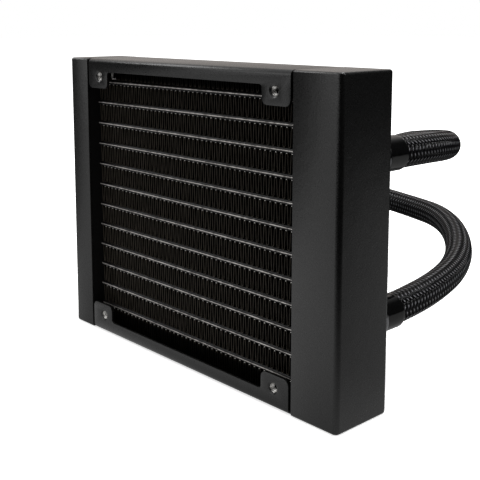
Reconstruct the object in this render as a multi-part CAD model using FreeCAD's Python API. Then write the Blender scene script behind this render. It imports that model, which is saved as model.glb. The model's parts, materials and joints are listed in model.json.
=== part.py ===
# All in one CPU liquid cooler: a 120 mm radiator on its long edge, two braided hoses and a pump head.
# Millimetres, +Z up. The origin is the middle of the lower side plate's underside, where the
# radiator stands. +X points to the tank with the hose ports, +Y to the side the hoses leave by.

import math
import os

import FreeCAD, Part
from FreeCAD import Placement, Rotation, Vector

# Radiator frame: tanks and side plates
radiator_depth = 27.0
port_tank_width = 20.8
return_tank_width = 13.5
tank_wall = 1.0
tank_bend_radius = 2.0
tank_crown_radius = 1.0
header_thickness = 1.2
divider_thickness = 1.0
plate_thickness = 1.2
plate_bend_radius = 2.0
plate_end_gap = 1.2
flange_height = 5.5
flange_corner_radius = 2.5

# Corner tabs and their threaded holes for a 120 mm fan, which set the core's length and height
fan_hole_spacing = 105.0
fan_hole_edge = 7.5
fan_hole_end = 7.7
fan_hole_radius = 1.5
fan_cone_radius = 2.4
fan_cone_depth = 0.7
fan_collar_wall = 0.9
fan_collar_depth = 1.6
tab_inner_reach = 6.0
tab_lower_reach = 5.0

# Core: flat tubes with a folded fin row above and below each
tube_thickness = 2.0
tube_depth = 16.0
tube_wall = 0.3
tube_end_reach = 0.4
fin_row_height = 7.05
fin_pitch = 2.65
fin_sheet = 0.15
fin_setback = 0.3
fin_end_gap = 0.4
braze_gap = 0.04

# Hose ports on the back of the wide tank
port_inset = 11.2
port_offset = 29.2
stem_radius = 4.2
stem_bore_radius = 3.0
stem_length = 16.0
stem_inset = 0.5
barb_height = 0.6
barb_length = 3.0
barb_spacing = 5.0
port_flange_radius = 7.0
port_flange = 1.5

# Hoses with their end sleeves and crimp collars
hose_radius = 5.9
sleeve_wall = 0.5
sleeve_length = 14.3
collar_wall = 1.4
collar_length = 4.0
collar_chamfer = 0.6
snug = 0.05
arc_share = 0.45

# Pump head: block, cold plate and cover
pump_x = -141.0
pump_y = 158.0
plate_disc_radius = 29.0
plate_disc_thickness = 3.0
micro_fin_count = 14
micro_fin_thickness = 1.0
micro_fin_pitch = 2.0
micro_fin_height = 3.0
block_width = 62.0
block_foot_ledge = 4.0
block_foot_height = 5.0
block_top = 24.0
block_corner_radius = 8.0
plenum_radius = 21.0
plenum_height = 4.5
flow_plate_thickness = 1.4
flow_slot_width = 2.4
flow_slot_length = 20.0
seal_inner_radius = 22.3
seal_width = 1.3
seal_height = 0.8
plate_screw_count = 6
plate_screw_circle = 26.2
plate_screw_radius = 1.2
plate_screw_head_radius = 2.2
plate_screw_length = 8.0

# Pump chamber and rotor
chamber_shift = -9.0
chamber_radius = 15.5
chamber_floor = 2.5
chamber_height = 10.0
lid_radius = 18.0
lid_thickness = 1.5
shaft_radius = 1.5
shaft_seat = 1.4
lid_seat = 0.6
rotor_clearance = 0.4
bearing_clearance = 0.05
impeller_radius = 13.0
hub_radius = 4.5
blade_count = 8
blade_thickness = 1.0
blade_height = 2.8
blade_bow_radius = 11.0
shroud_thickness = 1.2
magnet_height = 3.4
magnet_inset = 1.0
channel_radius = 2.5
outlet_radius = 1.6
outlet_offset = 12.0
return_channel_radius = 1.4

# Dry side of the pump
pole_count = 6
pole_radius = 2.2
pole_circle = 9.5
pole_height = 5.0
yoke_radius = 14.0
yoke_bore_radius = 4.0
yoke_thickness = 1.5
coil_wall = 2.0
coil_height = 3.6
board_radius = 16.0
board_bore_radius = 2.0
board_thickness = 1.6
cover_length = 42.0
cover_width = 58.0
cover_height = 12.0
cover_wall = 1.6
cover_edge_radius = 3.0
cable_hole_radius = 1.4
grommet_radius = 2.6
grommet_lip = 1.0
grommet_lip_thickness = 0.8
grommet_rise = 4.5

# Swivel elbows on the pump block
elbow_x = 22.0
elbow_y = 15.0
elbow_radius = 5.2
elbow_plug_radius = 5.0
elbow_plug_length = 5.0
elbow_collar_radius = 6.6
elbow_collar = 1.5
elbow_rise = 14.0
elbow_reach = 9.0

# Retention bracket round the pump block
bracket_thickness = 2.0
bracket_rim = 5.0
bracket_gap = 0.2
bracket_hole_spacing = 75.0
bracket_hole_radius = 2.1
bracket_ear_radius = 6.0

# What follows from the driving dimensions
core_width = fan_hole_spacing + 2 * (fan_hole_end + plate_end_gap)
radiator_height = fan_hole_spacing + 2 * fan_hole_edge
half_core = core_width / 2
half_depth = radiator_depth / 2
mid_height = radiator_height / 2
row_pitch = tube_thickness + fin_row_height
tube_count = int((radiator_height - 2 * plate_thickness - fin_row_height) / row_pitch)
inner_tank_depth = radiator_depth - 2 * tank_wall
port_x = half_core + port_tank_width - port_inset
port_heights = {"upper": mid_height + port_offset, "lower": mid_height - port_offset}
port_seat_y = half_depth + port_flange
chamber_x = pump_x + chamber_shift
chamber_low = plate_disc_thickness + plenum_height + chamber_floor
chamber_high = chamber_low + chamber_height
stator_low = chamber_high + lid_thickness
elbow_z = block_top + elbow_rise
hose_end_x = pump_x + elbow_x + elbow_reach
elbow_sides = {"upper": -elbow_y, "lower": elbow_y}

# Hose routes, from the port's flange to the elbow's flange, chosen point by point.
# The upper hose droops a little, swings behind the radiator and comes down to the pump.
upper_route = [
    Vector(port_x, port_seat_y, port_heights["upper"]),
    Vector(port_x, 44.0, port_heights["upper"]),
    Vector(61.0, 80.0, 86.0),
    Vector(33.0, 110.0, 81.5),
    Vector(-4.0, 130.0, 75.0),
    Vector(-42.0, 140.0, 55.5),
    Vector(-78.0, pump_y - elbow_y, elbow_z),
    Vector(hose_end_x, pump_y - elbow_y, elbow_z),
]
# The lower hose runs out nearly level and takes the wider swing.
lower_route = [
    Vector(port_x, port_seat_y, port_heights["lower"]),
    Vector(port_x, 46.0, port_heights["lower"]),
    Vector(56.0, 100.0, 32.5),
    Vector(18.0, 147.0, 37.0),
    Vector(-28.0, 170.0, 35.0),
    Vector(-74.0, pump_y + elbow_y, elbow_z),
    Vector(hose_end_x, pump_y + elbow_y, elbow_z),
]


def box(x_range, y_range, z_range):
    """A block between two corners."""
    size = (x_range[1] - x_range[0], y_range[1] - y_range[0], z_range[1] - z_range[0])
    return Part.makeBox(*size, Vector(x_range[0], y_range[0], z_range[0]))


def cylinder(radius, height, base=Vector(0, 0, 0), direction=Vector(0, 0, 1)):
    return Part.makeCylinder(radius, height, base, direction)


def ring(outer_radius, inner_radius, height, base=Vector(0, 0, 0)):
    """A tube standing on its base point."""
    return cylinder(outer_radius, height, base).cut(cylinder(inner_radius, height, base))


def turned(profile):
    """A solid of revolution about Z from (radius, height) corners."""
    points = [Vector(radius, 0, height) for radius, height in profile]
    face = Part.Face(Part.makePolygon(points + points[:1]))
    return face.revolve(Vector(0, 0, 0), Vector(0, 0, 1), 360)


def rounded_wire(corners):
    """A closed wire in XY through (x, y, radius) corners, each turned by its own arc."""
    spots = [Vector(x, y, 0) for x, y, radius in corners]
    bends = []
    for index, (x, y, radius) in enumerate(corners):
        here = spots[index]
        to_last = (spots[index - 1] - here).normalize()
        to_next = (spots[(index + 1) % len(spots)] - here).normalize()
        half_angle = to_last.getAngle(to_next) / 2
        setback = radius / math.tan(half_angle)
        inward = (to_last + to_next).normalize()
        crown = here + inward * (radius / math.sin(half_angle) - radius)
        bends.append((here + to_last * setback, crown, here + to_next * setback, radius))
    edges = []
    for index, (start, crown, end, radius) in enumerate(bends):
        if radius > 0:
            edges.append(Part.Arc(start, crown, end).toShape())
        following = bends[(index + 1) % len(bends)][0]
        edges.append(Part.LineSegment(end, following).toShape())
    return Part.Wire(edges)


def rounded_rectangle(x_range, y_range, radius):
    low_x, high_x = x_range
    low_y, high_y = y_range
    corners = [(low_x, low_y), (high_x, low_y), (high_x, high_y), (low_x, high_y)]
    return rounded_wire([(x, y, radius) for x, y in corners])


def rounded_square(width, radius):
    half = width / 2
    return rounded_rectangle((-half, half), (-half, half), radius)


def prism(wire, low, high):
    """A wire in XY raised between two heights."""
    solid = Part.Face(wire).extrude(Vector(0, 0, high - low))
    solid.translate(Vector(0, 0, low))
    return solid


def across(shape):
    """Turn a prism drawn in XY so that its X, Y and Z lie along Y, Z and X."""
    shape.Placement = Placement(Vector(0, 0, 0), Rotation(Vector(1, 1, 1), 120)).multiply(shape.Placement)
    return shape


def facing(shape):
    """Turn a prism drawn in XY so that its Y stands up and its Z points to the front, along -Y."""
    shape.Placement = Placement(Vector(0, 0, 0), Rotation(Vector(1, 0, 0), 90)).multiply(shape.Placement)
    return shape


def placed(shape, point, direction):
    """Put a shape turned about Z at a point, along a direction."""
    shape.Placement = Placement(point, Rotation(Vector(0, 0, 1), direction)).multiply(shape.Placement)
    return shape


def tube_height(index):
    """Middle height of a flat tube, counted from the lowest."""
    return mid_height + (index - (tube_count - 1) / 2) * row_pitch


def flat_oval(depth, thickness, x_range):
    """A bar of flat-oval section, as long as x_range, at height 0."""
    half = depth / 2
    side = thickness / 2
    straight = half - side
    wire = Part.Wire([
        Part.LineSegment(Vector(-straight, -side, 0), Vector(straight, -side, 0)).toShape(),
        Part.Arc(Vector(straight, -side, 0), Vector(half, 0, 0), Vector(straight, side, 0)).toShape(),
        Part.LineSegment(Vector(straight, side, 0), Vector(-straight, side, 0)).toShape(),
        Part.Arc(Vector(-straight, side, 0), Vector(-half, 0, 0), Vector(-straight, -side, 0)).toShape(),
    ])
    return across(prism(wire, *x_range))


def flat_tube(index):
    """A thin-walled flat tube that reaches through both header plates."""
    reach = half_core + header_thickness + tube_end_reach
    inner_depth = tube_depth - 2 * tube_wall
    inner_thickness = tube_thickness - 2 * tube_wall
    tube = flat_oval(tube_depth, tube_thickness, (-reach, reach))
    tube = tube.cut(flat_oval(inner_depth, inner_thickness, (-reach, reach)))
    tube.translate(Vector(0, 0, tube_height(index)))
    return tube


def fin_row(index):
    """A sheet folded into a zigzag whose crests touch the tubes or side plates on both sides."""
    low = plate_thickness
    high = radiator_height - plate_thickness
    if index > 0:
        low = tube_height(index - 1) + tube_thickness / 2
    if index < tube_count:
        high = tube_height(index) - tube_thickness / 2
    half_wave = fin_pitch / 2
    waves = int((core_width - 2 * fin_end_gap) / fin_pitch)
    upright_sheet = fin_sheet * math.hypot(half_wave, high - low) / half_wave
    upper = []
    lower = []
    for step in range(2 * waves + 1):
        x = (step - waves) * half_wave
        foot = low if step % 2 else high - upright_sheet
        lower.append(Vector(x, foot, 0))
        upper.append(Vector(x, foot + upright_sheet, 0))
    outline = upper + lower[::-1]
    half_fin = tube_depth / 2 - fin_setback
    return facing(prism(Part.makePolygon(outline + outline[:1]), -half_fin, half_fin))


def upright_edges(block, x):
    """The two full-height edges of a block that stand at one x."""
    return [
        edge for edge in block.Edges
        if edge.BoundBox.ZLength > mid_height and abs(edge.BoundBox.XMin - x) < tank_wall / 2
    ]


def tank(side, width):
    """A folded tank, open to the core; side is +1 at the ports and -1 at the return."""
    near = side * half_core
    far = side * (half_core + width)
    body = box(sorted((near, far)), (-half_depth, half_depth), (0, radiator_height))
    body = body.makeFillet(tank_bend_radius, upright_edges(body, far))
    crown_edges = [
        edge for edge in body.Edges
        if edge.BoundBox.XLength > width / 2 and edge.BoundBox.YLength < tank_wall
    ]
    body = body.makeFillet(tank_crown_radius, crown_edges)
    inner_far = far - side * tank_wall
    hollow = box(
        sorted((near, inner_far)),
        (-inner_tank_depth / 2, inner_tank_depth / 2),
        (tank_wall, radiator_height - tank_wall),
    )
    return body.cut(hollow.makeFillet(tank_bend_radius - tank_wall, upright_edges(hollow, inner_far)))


def port_tank():
    """The wide tank, with a hole in its back wall for each hose stem."""
    shell = tank(1, port_tank_width)
    for height in port_heights.values():
        start = Vector(port_x, half_depth - 2 * tank_wall, height)
        shell = shell.cut(cylinder(stem_radius + braze_gap, 3 * tank_wall, start, Vector(0, 1, 0)))
    return shell


def header(side):
    """The plate that closes a tank's mouth, slotted for the flat tubes."""
    x_range = sorted((side * half_core, side * (half_core + header_thickness)))
    half_inner = inner_tank_depth / 2
    plate = box(x_range, (-half_inner, half_inner), (tank_wall, radiator_height - tank_wall))
    for index in range(tube_count):
        slot = flat_oval(tube_depth + 2 * braze_gap, tube_thickness + 2 * braze_gap, x_range)
        slot.translate(Vector(0, 0, tube_height(index)))
        plate = plate.cut(slot)
    return plate


def divider():
    """The wall that makes the coolant go out through the upper tubes and back through the lower ones."""
    near = half_core + header_thickness
    far = half_core + port_tank_width - tank_wall
    half_inner = inner_tank_depth / 2
    radius = tank_bend_radius - tank_wall
    corners = [
        (near, -half_inner, 0),
        (far, -half_inner, radius),
        (far, half_inner, radius),
        (near, half_inner, 0),
    ]
    low = tube_height(tube_count // 2) - (row_pitch + divider_thickness) / 2
    return prism(rounded_wire(corners), low, low + divider_thickness)


def channel_section():
    """The U section of the upper side plate, its web on top at height 0, drawn in XY."""
    depth = fan_hole_edge + tab_lower_reach + flange_corner_radius
    inner = half_depth - plate_thickness
    bend = plate_bend_radius
    inner_bend = plate_bend_radius - plate_thickness
    return rounded_wire([
        (-half_depth, -depth, 0),
        (-half_depth, 0, bend),
        (half_depth, 0, bend),
        (half_depth, -depth, 0),
        (inner, -depth, 0),
        (inner, -plate_thickness, inner_bend),
        (-inner, -plate_thickness, inner_bend),
        (-inner, -depth, 0),
    ])


def side_plate():
    """The upper side plate: a folded channel whose flanges widen into a drilled tab at each corner."""
    half_length = half_core - plate_end_gap
    hole_x = fan_hole_spacing / 2
    tab_x = hole_x - tab_inner_reach
    tab_z = fan_hole_edge + tab_lower_reach
    radius = flange_corner_radius
    outline = [
        (half_length, 0, 0),
        (half_length, -tab_z, radius),
        (tab_x, -tab_z, radius),
        (tab_x, -flange_height, radius / 2),
        (-tab_x, -flange_height, radius / 2),
        (-tab_x, -tab_z, radius),
        (-half_length, -tab_z, radius),
        (-half_length, 0, 0),
    ]
    plate = across(prism(channel_section(), -half_length, half_length))
    plate = plate.common(facing(prism(rounded_wire(outline), -half_depth, half_depth)))
    half_web = half_depth - plate_bend_radius
    plate = plate.fuse(box((-half_core, half_core), (-half_web, half_web), (-plate_thickness, 0)))
    collar_radius = fan_hole_radius + fan_collar_wall
    for x in (-hole_x, hole_x):
        for face in (-1, 1):
            outside = Vector(x, face * half_depth, -fan_hole_edge)
            inward = Vector(0, -face, 0)
            plate = plate.fuse(cylinder(collar_radius, plate_thickness + fan_collar_depth, outside, inward))
    for x in (-hole_x, hole_x):
        front = Vector(x, -half_depth, -fan_hole_edge)
        plate = plate.cut(cylinder(fan_hole_radius, radiator_depth, front, Vector(0, 1, 0)))
        for face in (-1, 1):
            cone = Part.makeCone(
                fan_cone_radius,
                fan_hole_radius,
                fan_cone_depth,
                Vector(x, face * half_depth, -fan_hole_edge),
                Vector(0, -face, 0),
            )
            plate = plate.cut(cone)
    return plate.removeSplitter()


def stem_profile(tail):
    """Corners of a barbed stem that starts below height 0 by tail and carries the hose's seat flange."""
    ridge = stem_radius + barb_height
    profile = [
        (stem_bore_radius, -tail),
        (stem_radius, -tail),
        (stem_radius, 0),
        (port_flange_radius, 0),
        (port_flange_radius, port_flange),
        (stem_radius, port_flange),
    ]
    for barb in range(1, 3):
        foot = port_flange + barb * barb_spacing
        profile += [(stem_radius, foot), (ridge, foot), (stem_radius, foot + barb_length)]
    top = port_flange + stem_length
    profile += [(stem_radius, top), (stem_bore_radius, top)]
    return profile


def port_stem(height):
    tail = tank_wall + stem_inset
    return placed(turned(stem_profile(tail)), Vector(port_x, half_depth, height), Vector(0, 1, 0))


def crimp_collar():
    """A turned collar that clamps a hose end, its rim chamfered; stands on the seat flange."""
    inner = hose_radius + sleeve_wall + 2 * snug
    outer = inner + collar_wall
    return turned([
        (inner, 0),
        (outer, 0),
        (outer, collar_length - collar_chamfer),
        (outer - collar_chamfer, collar_length),
        (inner, collar_length),
    ])


def end_sleeve():
    """The smooth sleeve shrunk over the braid at a hose end."""
    return ring(hose_radius + sleeve_wall + snug, hose_radius + snug, sleeve_length)


def hose(name, route):
    """A hose along straight runs joined by tangent arcs, hollow at both ends for the barbed stems."""
    edges = []
    last = route[0]
    radii = []
    for index in range(1, len(route) - 1):
        here = route[index]
        to_last = route[index - 1] - here
        to_next = route[index + 1] - here
        setback = arc_share * min(to_last.Length, to_next.Length)
        half_angle = to_last.getAngle(to_next) / 2
        radius = setback * math.tan(half_angle)
        to_last.normalize()
        to_next.normalize()
        start = here + to_last * setback
        end = here + to_next * setback
        crown = here + (to_last + to_next).normalize() * (math.hypot(setback, radius) - radius)
        edges.append(Part.LineSegment(last, start).toShape())
        edges.append(Part.Arc(start, crown, end).toShape())
        radii.append(round(radius, 1))
        last = end
    edges.append(Part.LineSegment(last, route[-1]).toShape())
    path = Part.Wire(edges)
    first = (route[1] - route[0]).normalize()
    final = (route[-2] - route[-1]).normalize()
    section = Part.Wire([Part.makeCircle(hose_radius, route[0], first)])
    solid = path.makePipeShell([section], True, False)
    fullness = solid.Volume / (math.pi * hose_radius ** 2 * path.Length)
    print(name, "arc radii", radii, "length", round(path.Length, 1), "volume ratio", round(fullness, 5))
    bore = stem_radius + barb_height + snug
    depth = stem_length + snug
    for point, direction in ((route[0], first), (route[-1], final)):
        solid = solid.cut(cylinder(bore, depth, point, direction))
    return solid


def moved(shape, x, y, z=0.0):
    shape.translate(Vector(x, y, z))
    return shape


def cold_plate():
    """The copper plate that sits on the processor, with fine fins cut in its wet side."""
    plate = cylinder(plate_disc_radius, plate_disc_thickness)
    half_block = ((micro_fin_count - 1) * micro_fin_pitch + micro_fin_thickness) / 2
    z_range = (plate_disc_thickness, plate_disc_thickness + micro_fin_height)
    for index in range(micro_fin_count):
        x = index * micro_fin_pitch - half_block
        plate = plate.fuse(box((x, x + micro_fin_thickness), (-half_block, half_block), z_range))
    for index in range(plate_screw_count):
        x, y = plate_screw_place(index)
        plate = plate.cut(moved(plate_screw(snug), x, y))
    return moved(plate, pump_x, pump_y)


def plate_screw_place(index):
    angle = 2 * math.pi * index / plate_screw_count
    return plate_screw_circle * math.cos(angle), plate_screw_circle * math.sin(angle)


def plate_screw(gap):
    """A countersunk screw, head down at height 0, made larger all round by gap for its hole."""
    radius = plate_screw_radius + gap
    head = plate_screw_head_radius + gap
    sink = head - radius
    tip = plate_screw_length
    return turned([(0, 0), (head, 0), (radius, sink), (radius, tip), (0, tip)])


def plate_screws():
    screws = []
    for index in range(plate_screw_count):
        x, y = plate_screw_place(index)
        screws.append(moved(plate_screw(0), pump_x + x, pump_y + y))
    return Part.makeCompound(screws)


def seal_ring():
    outer = seal_inner_radius + seal_width
    return ring(outer, seal_inner_radius, seal_height, Vector(pump_x, pump_y, plate_disc_thickness))


def flow_plate():
    """The plate that feeds the coolant through a slot onto the fine fins."""
    top = plate_disc_thickness + plenum_height
    low = top - flow_plate_thickness
    disc = cylinder(plenum_radius - snug, flow_plate_thickness, Vector(pump_x, pump_y, low))
    slot_x = chamber_x + outlet_offset
    half_width = flow_slot_width / 2
    half_length = flow_slot_length / 2
    x_range = (slot_x - half_width, slot_x + half_width)
    return disc.cut(box(x_range, (pump_y - half_length, pump_y + half_length), (low, top)))


def pump_housing():
    """The moulded pump block: foot, body, plenum below, rotor chamber above and two elbow sockets."""
    low = plate_disc_thickness
    foot_top = low + block_foot_height
    foot_width = block_width + 2 * block_foot_ledge
    foot = prism(rounded_square(foot_width, block_corner_radius), low, foot_top)
    body = prism(rounded_square(block_width, block_corner_radius), low, block_top)
    block = foot.fuse(body).removeSplitter()
    under = Vector(0, 0, low)
    block = block.cut(cylinder(plenum_radius, plenum_height, under))
    groove_outer = seal_inner_radius + seal_width + snug
    block = block.cut(ring(groove_outer, seal_inner_radius - snug, seal_height, under))
    chamber = Vector(chamber_shift, 0, chamber_low)
    block = block.cut(cylinder(chamber_radius, block_top - chamber_low, chamber))
    lid_step = Vector(chamber_shift, 0, chamber_high)
    block = block.cut(cylinder(lid_radius + snug, block_top - chamber_high, lid_step))
    block = block.cut(cylinder(shaft_radius, shaft_seat, chamber - Vector(0, 0, shaft_seat)))
    outlet = Vector(chamber_shift + outlet_offset, 0, low)
    block = block.cut(cylinder(outlet_radius, chamber_low - low, outlet))
    socket_floor = block_top - elbow_plug_length - snug
    for y in elbow_sides.values():
        socket = Vector(elbow_x, y, socket_floor)
        block = block.cut(cylinder(elbow_plug_radius + snug, elbow_plug_length + snug, socket))
    inlet_z = (chamber_low + chamber_high) / 2
    inlet = Vector(elbow_x, elbow_sides["upper"], inlet_z)
    block = block.cut(cylinder(channel_radius, socket_floor - inlet_z, inlet))
    to_chamber = Vector(chamber_shift, 0, inlet_z) - inlet
    block = block.cut(cylinder(channel_radius, to_chamber.Length - impeller_radius, inlet, to_chamber))
    back_z = low + seal_height + snug + 2 * return_channel_radius
    back = Vector(elbow_x, elbow_sides["lower"], back_z)
    block = block.cut(cylinder(channel_radius, socket_floor - back_z, back))
    to_plenum = Vector(0, 0, back_z) - back
    return_length = to_plenum.Length - plenum_radius + channel_radius
    block = block.cut(cylinder(return_channel_radius, return_length, back, to_plenum))
    for index in range(plate_screw_count):
        x, y = plate_screw_place(index)
        block = block.cut(cylinder(plate_screw_radius + snug, plate_screw_length + snug, Vector(x, y, 0)))
    return moved(block, pump_x, pump_y)


def impeller():
    """Bowed blades under a shroud, on a hub that turns on the fixed shaft."""
    low = chamber_low + rotor_clearance
    shroud_low = low + blade_height
    top = shroud_low + shroud_thickness + magnet_height
    rotor = cylinder(hub_radius, top - low, Vector(0, 0, low))
    rotor = rotor.fuse(cylinder(impeller_radius, shroud_thickness, Vector(0, 0, shroud_low)))
    bow = ring(blade_bow_radius, blade_bow_radius - blade_thickness, blade_height, Vector(0, 0, low))
    middle = Vector(impeller_radius / 2, blade_bow_radius - blade_thickness, 0)
    bow.translate(middle)
    blade = bow.common(box((0, 2 * impeller_radius), (-impeller_radius, middle.y), (low, shroud_low)))
    blade = blade.common(cylinder(impeller_radius, blade_height, Vector(0, 0, low)))
    for index in range(blade_count):
        copy = blade.copy()
        copy.rotate(Vector(0, 0, 0), Vector(0, 0, 1), 360 * index / blade_count)
        rotor = rotor.fuse(copy)
    rotor = rotor.cut(cylinder(shaft_radius + bearing_clearance, top - low, Vector(0, 0, low)))
    return moved(rotor.removeSplitter(), chamber_x, pump_y)


def rotor_magnet():
    low = chamber_low + rotor_clearance + blade_height + shroud_thickness
    return ring(impeller_radius - magnet_inset, hub_radius, magnet_height, Vector(chamber_x, pump_y, low))


def impeller_shaft():
    low = chamber_low - shaft_seat
    return cylinder(shaft_radius, chamber_high + lid_seat - low, Vector(chamber_x, pump_y, low))


def chamber_lid():
    """The wall between the rotor and the dry stator, with a seat for the shaft's upper end."""
    base = Vector(chamber_x, pump_y, chamber_high)
    return cylinder(lid_radius, lid_thickness, base).cut(cylinder(shaft_radius, lid_seat, base))


def pole_place(index):
    angle = 2 * math.pi * index / pole_count
    return chamber_x + pole_circle * math.cos(angle), pump_y + pole_circle * math.sin(angle)


def stator_core():
    """A yoke with poles that stand on the chamber lid."""
    above_poles = Vector(chamber_x, pump_y, stator_low + pole_height)
    yoke = ring(yoke_radius, yoke_bore_radius, yoke_thickness, above_poles)
    for index in range(pole_count):
        x, y = pole_place(index)
        yoke = yoke.fuse(cylinder(pole_radius, pole_height, Vector(x, y, stator_low)))
    return yoke.removeSplitter()


def stator_coils():
    low = stator_low + pole_height - coil_height
    coils = []
    for index in range(pole_count):
        x, y = pole_place(index)
        coils.append(ring(pole_radius + coil_wall, pole_radius + snug, coil_height, Vector(x, y, low)))
    return Part.makeCompound(coils)


def pump_board():
    low = stator_low + pole_height + yoke_thickness
    return ring(board_radius, board_bore_radius, board_thickness, Vector(chamber_x, pump_y, low))


def pump_cover():
    """The plain moulded cap over the pump's dry side, open below, with a hole for the cable."""
    top = block_top + cover_height
    low_x = chamber_x - cover_length / 2
    half_width = cover_width / 2
    x_range = (low_x, low_x + cover_length)
    y_range = (pump_y - half_width, pump_y + half_width)
    cap = prism(rounded_rectangle(x_range, y_range, block_corner_radius), block_top, top)
    rim = [edge for edge in cap.Edges if edge.BoundBox.ZMin > top - snug]
    cap = cap.makeFillet(cover_edge_radius, rim)
    inner_x = (x_range[0] + cover_wall, x_range[1] - cover_wall)
    inner_y = (y_range[0] + cover_wall, y_range[1] - cover_wall)
    inner_outline = rounded_rectangle(inner_x, inner_y, block_corner_radius - cover_wall)
    cap = cap.cut(prism(inner_outline, block_top, top - cover_wall))
    hole = Vector(low_x, pump_y, block_top + grommet_rise)
    return cap.cut(cylinder(grommet_radius, cover_wall, hole, Vector(1, 0, 0)))


def cable_grommet():
    """The rubber inlet for the pump's cable."""
    waist = grommet_radius - snug
    lip = grommet_radius + grommet_lip
    profile = [
        (cable_hole_radius, -grommet_lip_thickness),
        (lip, -grommet_lip_thickness),
        (lip, 0),
        (waist, 0),
        (waist, cover_wall),
        (lip, cover_wall),
        (lip, cover_wall + grommet_lip_thickness),
        (cable_hole_radius, cover_wall + grommet_lip_thickness),
    ]
    outside = Vector(chamber_x - cover_length / 2, pump_y, block_top + grommet_rise)
    return placed(turned(profile), outside, Vector(1, 0, 0))


def elbow(side):
    """A hollow elbow plugged into the block, ending in the same barbed stem as the radiator ports."""
    run = Vector(1, 0, 0)
    knee = Vector(0, 0, elbow_rise)
    plug_end = Vector(0, 0, -elbow_plug_length)
    body = cylinder(elbow_plug_radius, elbow_plug_length, plug_end)
    body = body.fuse(cylinder(elbow_collar_radius, elbow_collar))
    body = body.fuse(cylinder(elbow_radius, elbow_rise))
    body = body.fuse(Part.makeSphere(elbow_radius, knee))
    body = body.fuse(cylinder(elbow_radius, elbow_reach - port_flange, knee, run))
    stem = turned(stem_profile(snug))
    body = body.fuse(placed(stem, knee + run * (elbow_reach - port_flange), run))
    body = body.cut(cylinder(stem_bore_radius, elbow_plug_length + elbow_rise, plug_end))
    body = body.cut(Part.makeSphere(stem_bore_radius, knee))
    body = body.cut(cylinder(stem_bore_radius, elbow_reach + stem_length, knee, run))
    return moved(body.removeSplitter(), pump_x + elbow_x, pump_y + elbow_sides[side], block_top)


def turned_to_corners(shape):
    """Four copies of a shape that lies along +X, turned to the corners of a square."""
    copies = []
    for corner in range(4):
        copy = shape.copy()
        copy.rotate(Vector(0, 0, 0), Vector(0, 0, 1), 45 + 90 * corner)
        copies.append(copy)
    return copies


def bracket():
    """The stamped retention frame, with an ear and a free hole at each corner for the socket's screws."""
    low = plate_disc_thickness + block_foot_height
    high = low + bracket_thickness
    inner_radius = block_corner_radius + bracket_gap
    frame = prism(rounded_square(block_width + 2 * bracket_rim, inner_radius), low, high)
    reach = bracket_hole_spacing / math.sqrt(2)
    arm = box((block_width / 2, reach), (-bracket_ear_radius, bracket_ear_radius), (low, high))
    arm = arm.fuse(cylinder(bracket_ear_radius, bracket_thickness, Vector(reach, 0, low)))
    hole = cylinder(bracket_hole_radius, bracket_thickness, Vector(reach, 0, low))
    frame = frame.fuse(turned_to_corners(arm)).cut(turned_to_corners(hole))
    window = prism(rounded_square(block_width + 2 * bracket_gap, inner_radius), low, high)
    return moved(frame.cut(window).removeSplitter(), pump_x, pump_y)


nodes = {
    "port_tank": port_tank(),
    "return_tank": tank(-1, return_tank_width),
    "port_header": header(1),
    "return_header": header(-1),
    "tank_divider": divider(),
}
for index in range(tube_count):
    nodes["flat_tube_%02d" % (index + 1)] = flat_tube(index)
for index in range(tube_count + 1):
    nodes["fin_row_%02d" % (index + 1)] = fin_row(index)

upper_plate = side_plate()
upper_plate.translate(Vector(0, 0, radiator_height))
nodes["top_side_plate"] = upper_plate
nodes["bottom_side_plate"] = upper_plate.mirror(Vector(0, 0, mid_height), Vector(0, 0, 1))

port_collars = []
pump_collars = []
for side, route in (("upper", upper_route), ("lower", lower_route)):
    leave = (route[1] - route[0]).normalize()
    arrive = (route[-2] - route[-1]).normalize()
    nodes[side + "_port_stem"] = port_stem(port_heights[side])
    nodes[side + "_hose"] = hose(side + "_hose", route)
    nodes[side + "_port_sleeve"] = placed(end_sleeve(), route[0], leave)
    nodes[side + "_pump_sleeve"] = placed(end_sleeve(), route[-1], arrive)
    nodes[side + "_elbow"] = elbow(side)
    port_collars.append(placed(crimp_collar(), route[0], leave))
    pump_collars.append(placed(crimp_collar(), route[-1], arrive))
nodes["port_collars"] = Part.makeCompound(port_collars)
nodes["pump_collars"] = Part.makeCompound(pump_collars)

nodes["cold_plate"] = cold_plate()
nodes["cold_plate_screws"] = plate_screws()
nodes["cold_plate_seal"] = seal_ring()
nodes["flow_plate"] = flow_plate()
nodes["pump_housing"] = pump_housing()
nodes["impeller"] = impeller()
nodes["rotor_magnet"] = rotor_magnet()
nodes["impeller_shaft"] = impeller_shaft()
nodes["chamber_lid"] = chamber_lid()
nodes["stator_core"] = stator_core()
nodes["stator_coils"] = stator_coils()
nodes["pump_board"] = pump_board()
nodes["pump_cover"] = pump_cover()
nodes["cable_grommet"] = cable_grommet()
nodes["retention_bracket"] = bracket()

os.makedirs("parts", exist_ok=True)
for name, shape in nodes.items():
    shape.exportStep("parts/" + name + ".step")
print(len(nodes), "nodes")
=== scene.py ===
import json
import math
import random

import bmesh
import bpy
import numpy as np
from bpy.props import FloatProperty, FloatVectorProperty, IntProperty, PointerProperty
from mathutils import Matrix, Vector


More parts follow.
